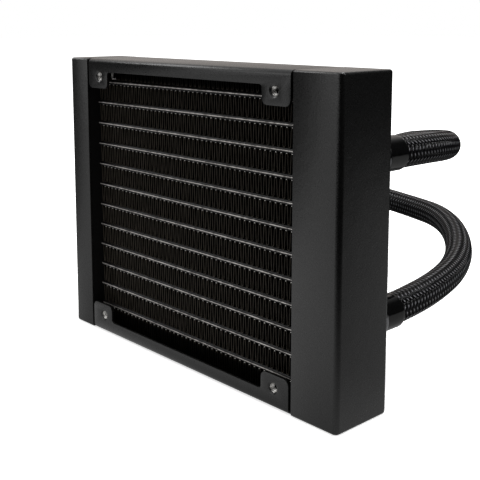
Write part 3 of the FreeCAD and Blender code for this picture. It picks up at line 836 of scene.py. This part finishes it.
def fin_line(height, settings):
    """Middle line of one wave of the folded sheet: half a crest, a leg, a foot, a leg and half a crest."""
    half = settings.fin_sheet / 2
    radius = settings.crest_radius
    run = settings.fin_pitch / 2
    rise = height - 2 * half - 2 * radius
    slope = math.atan2(rise, run) + math.asin(2 * radius / math.hypot(rise, run))
    low_centre = (0, half + radius)
    high_centre = (run, height - half - radius)
    next_centre = (2 * run, half + radius)
    turn = slope - math.pi / 2
    arcs = (
        arc_points(low_centre, radius, -math.pi / 2, turn, 4),
        arc_points(high_centre, radius, math.pi + turn, -turn, 8),
        arc_points(next_centre, radius, math.pi - turn, 3 * math.pi / 2, 4),
    )
    return [[(x, height - z) for x, z in arc] for arc in arcs]


def add_band(work, line, thickness, low_y, high_y):
    """A closed strip of sheet that follows a line in XZ between two depths."""
    points = [Vector((x, 0, z)) for x, z in line]
    rings = []
    for index, point in enumerate(points):
        before = points[max(index - 1, 0)]
        after = points[min(index + 1, len(points) - 1)]
        along = (after - before).normalized()
        side = Vector((along.z, 0, -along.x)) * thickness / 2
        outside = point + side
        inside = point - side
        corners = ((outside, low_y), (inside, low_y), (inside, high_y), (outside, high_y))
        rings.append([work.verts.new((place.x, y, place.z)) for place, y in corners])
    add_rod(work, rings)


def add_slat(work, foot, head, thickness, middle_y, width, turn):
    """A louvre slat between two points in XZ, turned about its own length."""
    foot = Vector((foot[0], middle_y, foot[1]))
    head = Vector((head[0], middle_y, head[1]))
    along = (head - foot).normalized()
    normal = Vector((along.z, 0, -along.x))
    depth = Vector((0, 1, 0))
    wide = depth * math.cos(turn) + normal * math.sin(turn)
    thick = along.cross(wide)
    corners = [
        sign_wide * wide * width / 2 + sign_thick * thick * thickness / 2
        for sign_wide, sign_thick in ((-1, -1), (1, -1), (1, 1), (-1, 1))
    ]
    add_rod(work, [[work.verts.new(end + corner) for corner in corners] for end in (foot, head)])


def fin_wave(height, depth, settings):
    """One wave of louvred fin sheet, from y = -depth / 2 to depth / 2, standing on z = 0."""
    first, crest, last = fin_line(height, settings)
    sheet = settings.fin_sheet
    rim = 0.8 * MM
    stub = 0.13
    slat_share = 0.96
    work = bmesh.new()
    whole = first + crest + last
    add_band(work, whole, sheet, -depth / 2, rim - depth / 2)
    add_band(work, whole, sheet, depth / 2 - rim, depth / 2)
    legs = ((first[-1], crest[0]), (crest[-1], last[0]))

    def on_leg(leg, share):
        foot, head = leg
        return (foot[0] + (head[0] - foot[0]) * share, foot[1] + (head[1] - foot[1]) * share)

    inner = depth / 2 - rim
    add_band(work, first + [on_leg(legs[0], stub)], sheet, -inner, inner)
    add_band(work, [on_leg(legs[0], 1 - stub)] + crest + [on_leg(legs[1], stub)], sheet, -inner, inner)
    add_band(work, [on_leg(legs[1], 1 - stub)] + last, sheet, -inner, inner)
    count = int(2 * inner / settings.louvre_pitch)
    step = 2 * inner / count
    for leg_number, leg in enumerate(legs):
        for i in range(count):
            middle = (i + 0.5) * step - inner
            turn = settings.louvre_turn if (middle < 0) != bool(leg_number) else -settings.louvre_turn
            add_slat(work, on_leg(leg, stub), on_leg(leg, 1 - stub), sheet, middle, step * slat_share, turn)
    bmesh.ops.recalc_face_normals(work, faces=work.faces)
    return mesh_of(work, "fin_wave", math.radians(40))


def whole_waves(node, pitch):
    """How many whole waves of fin sheet fit a row, and where the first of them starts along X."""
    low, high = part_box(node)
    count = int((high.x - low.x) / pitch + 0.01)
    return count, (low.x + high.x - count * pitch) / 2


def add_nose_map(piece):
    """Map a tube's height to v from -1 to 1 across its thickness, and its length to u."""
    mesh = piece.data
    heights = [vertex.co.z for vertex in mesh.vertices]
    middle = (min(heights) + max(heights)) / 2
    half = (max(heights) - min(heights)) / 2
    layer = mesh.uv_layers.new(name="nose")
    for loop in mesh.loops:
        place = mesh.vertices[loop.vertex_index].co
        layer.data[loop.index].uv = (place.x, (place.z - middle) / half)


class COOLER_OT_fin_core(bpy.types.Operator):
    """Louvred fin rows between the flat tubes, with the header plates"""

    bl_idname = "cooler.fin_core"
    bl_label = "Fin core"

    def execute(self, context):
        settings = context.scene.cooler_core
        for node in FIN_NODES:
            low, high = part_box(node)
            count, first = whole_waves(node, settings.fin_pitch)
            piece = grown(
                repeated_along_x,
                fin_wave(high.z - low.z, high.y - low.y, settings),
                node + "_louvred",
                shared(fin_paint_with_painted_shade),
                Count=count,
                Pitch=settings.fin_pitch,
                Start=Vector((first, 0, low.z)),
            )
            shade_smooth(piece.data, math.radians(40))
            adopt(piece, slot_of(node), node)
        for node in TUBE_NODES:
            add_nose_map(dressed(node, tube_nose_painted_highlight))
        for node in ("port_header", "return_header", "tank_divider"):
            recolour(node, core_black_with_painted_shade)
        return {"FINISHED"}


def bead_column(half_depth, radii):
    """Small flattened beads under every tube, near the front and back edges of the fins."""
    work = bmesh.new()
    size = Matrix.Diagonal((*radii, 1))
    for node in TUBE_NODES:
        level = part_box(node)[0].z
        for side in (-1, 1):
            place = Matrix.Translation((0, side * half_depth, level))
            bmesh.ops.create_uvsphere(work, u_segments=8, v_segments=5, radius=1, matrix=place @ size)
    return mesh_of(work, "bead_column", math.pi)


def torn_tail():
    """Two thin strips of sheet, one upright and one lying, that share their lower left corner."""
    corner = Vector((-50.7, -8.0, 111.2)) * MM
    sheet = 0.55 * MM
    depth = 0.6 * MM
    work = bmesh.new()
    for width, height in ((sheet, 3.0 * MM), (2.2 * MM, sheet)):
        centre = corner + Vector((width / 2, 0, height / 2))
        size = Matrix.Diagonal((width, depth, height, 1))
        bmesh.ops.create_cube(work, size=1, matrix=Matrix.Translation(centre) @ size)
    return mesh_of(work, "fin_sheet_tail")


class COOLER_OT_braze_beads(bpy.types.Operator):
    """Braze beads where the fin crests meet the tubes, bright partly as painted highlight, and the bare end
    of the top fin sheet, coloured as a painted glint
    """

    bl_idname = "cooler.braze_beads"
    bl_label = "Braze beads"

    def execute(self, context):
        inset = 0.2 * MM
        radii = (0.3 * MM, 0.3 * MM, 0.2 * MM)
        pitch = context.scene.cooler_core.fin_pitch
        count, first = whole_waves(FIN_NODES[0], pitch)
        piece = grown(
            repeated_along_x,
            bead_column(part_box(FIN_NODES[0])[1].y - inset, radii),
            "braze_beads",
            shared(braze_metal_and_painted_highlight),
            Count=count - 1,
            Pitch=pitch,
            Start=Vector((first + pitch, 0, 0)),
        )
        adopt(piece, "bare_tube_metal")
        adopt(object_from(torn_tail(), "fin_sheet_tail", shared(torn_sheet_painted_glint)), "bare_tube_metal")
        return {"FINISHED"}


# Radiator frame


class COOLER_OT_radiator_frame(bpy.types.Operator):
    """Painted tanks and side plates"""

    bl_idname = "cooler.radiator_frame"
    bl_label = "Radiator frame"

    def execute(self, context):
        edge = context.scene.cooler_paint.edge_break
        for node in ("port_tank", "return_tank"):
            dressed(node, satin_black_paint, edge)
        for node in PLATE_NODES:
            dressed(node, drilled_black_paint, edge)
        return {"FINISHED"}


def thread_mesh(radius, length, pitch):
    """A helical ridge on the wall of a hole along Y, from y = 0 to length."""
    crest = 0.54 * pitch
    half_foot = 0.42 * pitch
    per_turn = 24
    turns = int((length - pitch) / pitch)
    work = bmesh.new()
    rings = []
    for step in range(turns * per_turn + 1):
        angle = 2 * math.pi * step / per_turn
        middle = pitch / 2 + pitch * step / per_turn
        profile = ((radius, -half_foot), (radius - crest, 0.0), (radius, half_foot))
        points = [(r * math.cos(angle), middle + y, r * math.sin(angle)) for r, y in profile]
        rings.append([work.verts.new(point) for point in points])
    add_rod(work, rings)
    bmesh.ops.recalc_face_normals(work, faces=work.faces)
    return mesh_of(work, "thread")


class COOLER_OT_fan_screw_threads(bpy.types.Operator):
    """Tapped threads in the eight fan screw holes"""

    bl_idname = "cooler.fan_screw_threads"
    bl_label = "Fan screw threads"

    def execute(self, context):
        half_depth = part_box("port_tank")[1].y
        countersink = 0.7 * MM
        length = 2.1 * MM
        pitch = 0.5 * MM
        clearance = 0.01 * MM
        for face, turn in (("front", 0.0), ("back", math.pi)):
            mount = MOUNTS[face + "_fan_holes"]
            dims = mount["dims"]
            side = -1 if face == "front" else 1
            piece = grown(
                set_in_pattern,
                thread_mesh(dims["hole_r_mm"] * MM - clearance, length, pitch),
                face + "_fan_screw_threads",
                shared(cut_thread_metal),
                Width=dims["spacing_x_mm"] * MM,
                Height=dims["spacing_y_mm"] * MM,
                Centre=Vector((0, side * (half_depth - countersink), mount["pos_m"][2])),
                Turn=Vector((0, 0, turn)),
            )
            adopt(piece, "bare_tube_metal")
        return {"FINISHED"}


# Hoses


def smooth_line(route, step):
    """Evenly spaced points along the hose's NURBS line."""
    curve = bpy.data.curves.new("hose_line", "CURVE")
    curve.dimensions = "3D"
    curve.resolution_u = 40
    spline = curve.splines.new("NURBS")
    spline.points.add(len(route) - 1)
    for point, place in zip(spline.points, route):
        point.co = (*place, 1.0)
    spline.order_u = 3
    spline.use_endpoint_u = True
    holder = bpy.data.objects.new("hose_line", curve)
    bpy.context.scene.collection.objects.link(holder)
    depsgraph = bpy.context.evaluated_depsgraph_get()
    mesh = bpy.data.meshes.new_from_object(holder.evaluated_get(depsgraph))
    raw = np.array([vertex.co[:] for vertex in mesh.vertices])
    bpy.data.objects.remove(holder)
    bpy.data.meshes.remove(mesh)
    travelled = np.concatenate([[0], np.cumsum(np.linalg.norm(np.diff(raw, axis=0), axis=1))])
    count = int(travelled[-1] / step)
    even = np.linspace(0, travelled[-1], count + 1)
    return np.stack([np.interp(even, travelled, raw[:, axis]) for axis in range(3)], axis=1), travelled[-1]


def carried_frames(line):
    """Two directions across the line at each point, carried along it without twist."""
    along = np.gradient(line, axis=0)
    along /= np.linalg.norm(along, axis=1)[:, None]
    first = np.cross(along[0], (0, 0, 1))
    first /= np.linalg.norm(first)
    across = [first]
    for tangent in along[1:]:
        carried = across[-1] - tangent * np.dot(across[-1], tangent)
        across.append(carried / np.linalg.norm(carried))
    across = np.array(across)
    return across, np.cross(along, across)


def tube_faces(rings, sides):
    """Quads between successive rings of a closed tube."""
    ring = np.arange(rings - 1)[:, None] * sides
    side = np.arange(sides)[None, :]
    following = (side + 1) % sides
    quads = np.stack([ring + side, ring + following, ring + sides + following, ring + sides + side], axis=-1)
    return quads.reshape(-1, 4)


def strand_rows(line, across, up, angle, half_angle, radius, core_radius):
    """Four rows of points along a flat strand: its two walls go down into the core."""
    rows = []
    sunk = np.full(len(line), core_radius - 0.05 * MM)
    for spread, height in ((-1.1, sunk), (-0.6, radius), (0.6, radius), (1.1, sunk)):
        theta = angle + spread * half_angle
        spoke = across * np.cos(theta)[:, None] + up * np.sin(theta)[:, None]
        rows.append(line + height[:, None] * spoke)
    return np.stack(rows, axis=1).reshape(-1, 3)


def braided_hose(name, route, settings):
    """Rubber core and a two-over-two-under braid of flat strands round the hose's line."""
    line, length = smooth_line(route, 0.6 * MM)
    across, up = carried_frames(line)
    outer = settings.diameter / 2
    core_radius = outer - 0.5 * MM
    middle_radius = outer - 0.21 * MM
    rise = 0.2 * MM
    sides = 32
    turn = np.linspace(0, 2 * math.pi, sides, endpoint=False)
    spokes = across[:, None, :] * np.cos(turn)[None, :, None] + up[:, None, :] * np.sin(turn)[None, :, None]
    vertices = [(line[:, None, :] + core_radius * spokes).reshape(-1, 3)]
    faces = [tube_faces(len(line), sides)]
    corners = [np.zeros((len(faces[0]), 4, 2))]
    total = len(vertices[0])
    count = settings.strands
    travelled = np.linspace(0, length, len(line))
    wind = travelled * math.tan(settings.lay_angle) / middle_radius
    half_angle = 0.42 * 2 * math.pi / count
    rows = 4
    start = np.arange(len(line) - 1)[:, None] * rows
    lane = np.arange(rows - 1)[None, :]
    quads = np.stack([start + lane, start + lane + 1, start + lane + rows + 1, start + lane + rows], axis=-1)
    quads = quads.reshape(-1, 4)
    side = np.tile([-0.15, 0.1, 0.9, 1.15], len(line))
    for way in (1, -1):
        for strand in range(count):
            crossing = wind * count / math.pi
            phase = math.pi / 2 * (2 * strand + way * crossing - 0.5)
            lift = way * np.cos(phase)
            radius = middle_radius + rise * np.clip(1.6 * lift, -1, 1)
            angle = 2 * math.pi * strand / count + way * wind
            vertices.append(strand_rows(line, across, up, angle, half_angle, radius, core_radius))
            faces.append(quads + total)
            corners.append(np.stack([side, np.repeat(lift, rows)], axis=1)[quads])
            total += len(line) * rows
    core_count = len(faces[0])
    faces = np.concatenate(faces)
    mesh = bpy.data.meshes.new(name)
    mesh.from_pydata(np.concatenate(vertices).tolist(), [], faces.tolist())
    # Across a strand is u, and how far the strand stands proud there is v.
    layer = mesh.uv_layers.new(name="strand")
    layer.data.foreach_set("uv", np.concatenate(corners).astype(np.float32).ravel())
    mesh.polygons.foreach_set("use_smooth", np.ones(len(faces), bool))
    mesh.materials.append(shared(hose_rubber))
    mesh.materials.append(shared(polyester_braid))
    mesh.polygons.foreach_set("material_index", (np.arange(len(faces)) >= core_count).astype(np.int32))
    piece = bpy.data.objects.new(name, mesh)
    bpy.context.scene.collection.objects.link(piece)
    return piece, line, length


def lathe(name, profile, origin, direction, material, sides=72, wobble=0.0):
    """A turned piece from origin along direction; profile is (distance, radius) round its section."""
    direction = Vector(direction).normalized()
    first = direction.orthogonal().normalized()
    second = direction.cross(first)
    rng = random.Random(name)
    phases = [rng.uniform(0, 2 * math.pi) for _ in range(3)]
    rate = 900
    work = bmesh.new()
    rings = []
    for distance, radius in profile:
        ring = []
        for side in range(sides):
            angle = 2 * math.pi * side / sides
            waves = [math.sin((k + 2) * angle + phases[k] + distance * rate * (k + 1)) for k in range(3)]
            reach = radius + wobble * (sum(waves) / 3)
            spoke = first * math.cos(angle) + second * math.sin(angle)
            ring.append(work.verts.new(Vector(origin) + direction * distance + spoke * reach))
        rings.append(ring)
    join_rings(work, rings + rings[:1])
    bmesh.ops.recalc_face_normals(work, faces=work.faces)
    return object_from(mesh_of(work, name, math.radians(40)), name, material)


def rounded_end(distance, inner, outer):
    """Half a round from the outer to the inner radius at the end of a sleeve."""
    half = (outer - inner) / 2
    middle = (outer + inner) / 2
    turns = [math.pi * i / 6 for i in range(7)]
    return [(distance + half * math.sin(turn), middle + half * math.cos(turn)) for turn in turns]


def ring_size(node, direction):
    """Length and outer radius of a ring whose axis lies along X or Y."""
    low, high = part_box(node)
    size = high - low
    along = 0 if abs(direction[0]) > abs(direction[1]) else 1
    return size[along], min(size[axis] for axis in range(3) if axis != along) / 2


def sleeve(side, end, origin, direction):
    """A shrunk sleeve: drawn in over the braid, with a rolled and slightly uneven free rim."""
    name = f"{side}_{end}_sleeve"
    wall = 0.5 * MM
    inset = 0.03 * MM
    unevenness = 0.02 * MM
    rim = 0.25 * MM
    length, reach = ring_size(name, direction)
    inner = reach - wall
    outer = reach - inset
    body = [(length * i / 10, outer - unevenness * (i % 2)) for i in range(10)]
    profile = body + rounded_end(length - rim, inner, outer) + [(0.0, inner)]
    piece = lathe(name + "_shrunk", profile, origin, direction, shared(shrunk_sleeve), wobble=unevenness)
    return adopt(piece, slot_of(name), name)


def collar(name, node, origin, direction):
    """A turned crimp collar with one shallow groove and a rim that tapers to the sleeve."""
    length = ring_size(node, direction)[0]
    inner = 6.5 * MM
    outer = 7.9 * MM
    middle = 0.3 * length
    profile = [
        (0.0, inner),
        (0.0, outer - 0.15 * MM),
        (0.15 * MM, outer),
        (middle - 0.4 * MM, outer),
        (middle - 0.25 * MM, outer - 0.2 * MM),
        (middle + 0.25 * MM, outer - 0.2 * MM),
        (middle + 0.4 * MM, outer),
        (length - 1.9 * MM, outer),
        (length - 1.5 * MM, outer - 0.1 * MM),
        (length - 0.8 * MM, outer - 0.4 * MM),
        (length, outer - 0.9 * MM),
        (length, inner),
    ]
    return lathe(name, profile, origin, direction, shared(black_nickel), sides=96)


class COOLER_OT_hoses(bpy.types.Operator):
    """The two braided hoses, each on its own smooth line"""

    bl_idname = "cooler.hoses"
    bl_label = "Hoses"

    def execute(self, context):
        settings = context.scene.cooler_hose
        for side, route in ROUTES.items():
            node = side + "_hose"
            ends = {"port": (route[0], route[1]), "pump": (route[-1], route[-2])}
            for end, (origin, towards) in ends.items():
                direction = Vector(towards) - Vector(origin)
                sleeve(side, end, origin, direction)
            piece, line, length = braided_hose(node + "_braided", route, settings)
            adopt(piece, slot_of(node), node)
        return {"FINISHED"}


class COOLER_OT_hose_fittings(bpy.types.Operator):
    """Crimp collars at both ends of the hoses, and the barbed stems at the radiator's ports"""

    bl_idname = "cooler.hose_fittings"
    bl_label = "Hose fittings"

    def execute(self, context):
        for end, first, second in (("port", 0, 1), ("pump", -1, -2)):
            node = end + "_collars"
            collars = []
            for side, route in ROUTES.items():
                origin = Vector(route[first])
                collars.append(collar(f"{side}_{end}_collar", node, origin, Vector(route[second]) - origin))
            work = bmesh.new()
            for piece in collars:
                work.from_mesh(piece.data)
                bpy.data.objects.remove(piece)
            mesh = mesh_of(work, node, math.radians(40))
            adopt(object_from(mesh, node + "_turned", shared(black_nickel)), slot_of(node), node)
        for side in ROUTES:
            dressed(side + "_port_stem", bare_brass)
        return {"FINISHED"}


# Pump head


class COOLER_OT_pump_head(bpy.types.Operator):
    """The pump block, its cover, elbows, cable inlet, cold plate and bracket"""

    bl_idname = "cooler.pump_head"
    bl_label = "Pump head"

    def execute(self, context):
        edge = context.scene.cooler_pump.edge_break
        dressed("pump_housing", grained_block_plastic, edge)
        dressed("pump_cover", satin_cover_plastic, edge / 3)
        dressed("retention_bracket", coated_steel, edge / 2)
        dressed("cold_plate", turned_copper, edge / 4)
        dressed("cable_grommet", soft_rubber, edge / 3)
        for side in ROUTES:
            dressed(side + "_elbow", glossy_elbow_plastic, edge / 3)
        return {"FINISHED"}


class COOLER_OT_pump_inside(bpy.types.Operator):
    """Finishes of what the pump head holds inside"""

    bl_idname = "cooler.pump_inside"
    bl_label = "Pump inside"

    def execute(self, context):
        finishes = {
            "cold_plate_screws": ground_steel,
            "cold_plate_seal": soft_rubber,
            "flow_plate": grained_block_plastic,
            "impeller": ivory_acetal,
            "rotor_magnet": sintered_ferrite,
            "impeller_shaft": ground_steel,
            "chamber_lid": grained_block_plastic,
            "stator_core": stacked_steel,
            "stator_coils": enamelled_winding,
            "pump_board": green_board,
        }
        for node, maker in finishes.items():
            recolour(node, maker)
        return {"FINISHED"}


# Stage


# Where the strip lights point.
HOSE_LOOP = (0.06, 0.08, 0.07)
# How the floor darkens for reflections only: direction, start and end distance, least share of light.
FLOOR_FADES = (
    ((0.73, 0.68, 0.0), 0.0, 0.1, 0.45),
    ((0.73, 0.68, 0.0), 0.5, 0.95, 0.02),
    ((0.83, -0.56, 0.0), 0.08, 0.22, 0.0),
    ((-0.744, 0.662, 0.0), 0.01, 0.17, 0.1),
)
# Share of the floor's colour that lights the object, and the light that the paint sees it give.
FLOOR_BOUNCE = 0.35
FLOOR_MIRRORED = 0.45
# For the camera: near and far distance from the middle, and the light that the floor gives off at each.
FLOOR_LIFT = (0.2, 0.6, 0.65, 1.0)
# Soft panels that only gloss sees: direction, angle of the edge, angle where it is full, and level.
FRONT_PANEL = ((-0.3, -0.95, 0.05), 40, 14, 1.7)
OVERHEAD_PANEL = ((-0.3, 0.0, 0.95), 62, 25, 0.9)
BACK_PANEL = ((-0.73, 0.68, 0.2), 50, 15, 0.56)
BACK_PANEL_TINT = (1.0, 0.87, 0.78, 1.0)
ROOM_LEVEL = 0.02
EVEN_LEVEL = 0.5
WHITE = (1.0, 1.0, 1.0, 1.0)
BLACK = (0.0, 0.0, 0.0, 1.0)


def stage_floor(colour):
    """A pale floor: white to the camera apart from the shadow, and dark far off in what paint reflects."""
    material, tree, place = start_finish("pale_floor")
    distance = add_node(tree, "ShaderNodeVectorMath", (place,), operation="LENGTH")
    camera_ray = add_node(tree, "ShaderNodeLightPath").outputs["Is Camera Ray"]
    lit = 1.0
    for direction, start, end, least in FLOOR_FADES:
        along = add_node(tree, "ShaderNodeVectorMath", (place, direction), operation="DOT_PRODUCT")
        fade = add_node(tree, "ShaderNodeMapRange", (along, start, end, 1.0, least))
        lit = add_node(tree, "ShaderNodeMath", (fade, lit), operation="MULTIPLY")
    bounced = add_node(tree, "ShaderNodeMath", (lit, FLOOR_BOUNCE), operation="MULTIPLY")
    seen = add_node(tree, "ShaderNodeMath", (bounced, camera_ray), operation="MAXIMUM")
    shade = add_node(tree, "ShaderNodeMix", (seen, BLACK, tuple(colour)), data_type="RGBA")
    diffuse = add_node(tree, "ShaderNodeBsdfDiffuse", {"Color": shade})
    whiteness = add_node(tree, "ShaderNodeMapRange", (distance, *FLOOR_LIFT))
    lift = add_node(tree, "ShaderNodeMath", (camera_ray, whiteness), operation="MULTIPLY")
    mirrored = add_node(tree, "ShaderNodeMath", (lit, FLOOR_MIRRORED), operation="MULTIPLY")
    strength = add_node(tree, "ShaderNodeMath", (lift, mirrored), operation="MAXIMUM")
    glow = add_node(tree, "ShaderNodeEmission", {"Strength": strength})
    both = add_node(tree, "ShaderNodeAddShader", (diffuse, glow))
    add_node(tree, "ShaderNodeOutputMaterial", {"Surface": both})
    reach = 6.0
    level = -0.0002
    corners = [(x * reach, y * reach, level) for x, y in ((-1, -1), (1, -1), (1, 1), (-1, 1))]
    mesh = bpy.data.meshes.new("floor")
    mesh.from_pydata(corners, [], [(0, 1, 2, 3)])
    object_from(mesh, "floor", material)


def soft_box(name, place, target, size, power):
    light = bpy.data.lights.new(name, "AREA")
    light.shape = "RECTANGLE"
    light.size, light.size_y = size
    light.energy = power
    lamp = bpy.data.objects.new(name, light)
    lamp.location = place
    lamp.rotation_mode = "QUATERNION"
    lamp.rotation_quaternion = (Vector(target) - Vector(place)).to_track_quat("-Z", "Y")
    bpy.context.scene.collection.objects.link(lamp)


def soft_panel(tree, toward, direction, edge_angle, full_angle, level):
    """Light from a round soft panel far off, whose angles from its middle are in degrees."""
    aim = tuple(Vector(direction).normalized())
    near = add_node(tree, "ShaderNodeVectorMath", (toward, aim), operation="DOT_PRODUCT")
    limits = (near, math.cos(math.radians(edge_angle)), math.cos(math.radians(full_angle)), 0.0, level)
    return add_node(tree, "ShaderNodeMapRange", limits, interpolation_type="SMOOTHSTEP")


def studio_world():
    """White to the camera, even for scattered light, and dark with soft panels for what gloss mirrors."""
    world = bpy.data.worlds.new("studio")
    bpy.context.scene.world = world
    tree = emptied(world)
    toward = add_node(tree, "ShaderNodeTexCoord").outputs["Generated"]
    front = soft_panel(tree, toward, *FRONT_PANEL)
    overhead = soft_panel(tree, toward, *OVERHEAD_PANEL)
    back = soft_panel(tree, toward, *BACK_PANEL)
    fore = add_node(tree, "ShaderNodeMath", (front, overhead), operation="ADD")
    rear = add_node(tree, "ShaderNodeMath", (back, ROOM_LEVEL), operation="ADD")
    level = add_node(tree, "ShaderNodeMath", (fore, rear), operation="ADD")
    tint = add_node(tree, "ShaderNodeMix", (back, WHITE, BACK_PANEL_TINT), data_type="RGBA")
    mirrored = add_node(tree, "ShaderNodeBackground", (tint, level))
    even = add_node(tree, "ShaderNodeBackground", (WHITE, EVEN_LEVEL))
    white = add_node(tree, "ShaderNodeBackground", (WHITE, 1.0))
    ray = add_node(tree, "ShaderNodeLightPath").outputs
    room = add_node(tree, "ShaderNodeMixShader", (ray["Is Glossy Ray"], even, mirrored))
    shown = add_node(tree, "ShaderNodeMixShader", (ray["Is Camera Ray"], room, white))
    add_node(tree, "ShaderNodeOutputWorld", {"Surface": shown})


class COOLER_OT_stage(bpy.types.Operator):
    """Camera, floor, lights and background"""

    bl_idname = "cooler.stage"
    bl_label = "Stage"

    def execute(self, context):
        scene = context.scene
        settings = scene.cooler_stage
        stage_floor(settings.floor_colour)
        studio_world()
        soft_box("key_light", (-0.88, -0.42, 0.72), (0, 0, 0.06), (0.45, 0.45), settings.key_power)
        soft_box("top_light", (0.1, 0.1, 1.1), (0, 0.05, 0), (0.8, 0.8), settings.top_power)
        soft_box("rim_light_high", (0.25, 0.45, 1.1), HOSE_LOOP, (0.5, 0.08), settings.rim_power)
        soft_box("rim_light_low", (0.9, 0.45, 0.6), HOSE_LOOP, (0.12, 0.3), settings.rim_power / 5)
        lens = bpy.data.cameras.new("camera")
        lens.lens = settings.lens
        lens.sensor_width = 36.0
        lens.shift_y = settings.lens_shift
        lens.clip_start = 0.01
        camera = bpy.data.objects.new("camera", lens)
        camera.location = settings.camera_place
        camera.rotation_euler = (math.pi / 2 - settings.camera_tilt, 0, settings.camera_turn)
        scene.collection.objects.link(camera)
        scene.camera = camera
        scene.view_settings.view_transform = "Standard"
        return {"FINISHED"}


class COOLER_PT_panel(bpy.types.Panel):
    """Lists the cooler's settings and the steps that make it"""

    bl_label = "Liquid cooler"
    bl_idname = "COOLER_PT_panel"
    bl_space_type = "VIEW_3D"
    bl_region_type = "UI"
    bl_category = "Cooler"

    def draw(self, context):
        for group in SETTINGS:
            box = self.layout.box()
            values = getattr(context.scene, group)
            for name in values.__annotations__:
                box.prop(values, name)
        for operator in OPERATORS:
            self.layout.operator(operator.bl_idname)


SETTINGS = {
    "cooler_paint": CoolerPaintSettings,
    "cooler_core": CoolerCoreSettings,
    "cooler_hose": CoolerHoseSettings,
    "cooler_pump": CoolerPumpSettings,
    "cooler_stage": CoolerStageSettings,
}
OPERATORS = (
    COOLER_OT_stage,
    COOLER_OT_hoses,
    COOLER_OT_hose_fittings,
    COOLER_OT_radiator_frame,
    COOLER_OT_fan_screw_threads,
    COOLER_OT_fin_core,
    COOLER_OT_braze_beads,
    COOLER_OT_pump_head,
    COOLER_OT_pump_inside,
)


def register():
    for name, group in SETTINGS.items():
        bpy.utils.register_class(group)
        setattr(bpy.types.Scene, name, PointerProperty(type=group))
    for operator in OPERATORS:
        bpy.utils.register_class(operator)
    bpy.utils.register_class(COOLER_PT_panel)


def unregister():
    bpy.utils.unregister_class(COOLER_PT_panel)
    for operator in reversed(OPERATORS):
        bpy.utils.unregister_class(operator)
    for name, group in SETTINGS.items():
        delattr(bpy.types.Scene, name)
        bpy.utils.unregister_class(group)


def main():
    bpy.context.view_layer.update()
    register()
    bpy.ops.cooler.stage()
    bpy.ops.cooler.hoses()
    bpy.ops.cooler.hose_fittings()
    bpy.ops.cooler.radiator_frame()
    bpy.ops.cooler.fan_screw_threads()
    bpy.ops.cooler.fin_core()
    bpy.ops.cooler.braze_beads()
    bpy.ops.cooler.pump_head()
    bpy.ops.cooler.pump_inside()


if __name__ == "__main__":
    main()
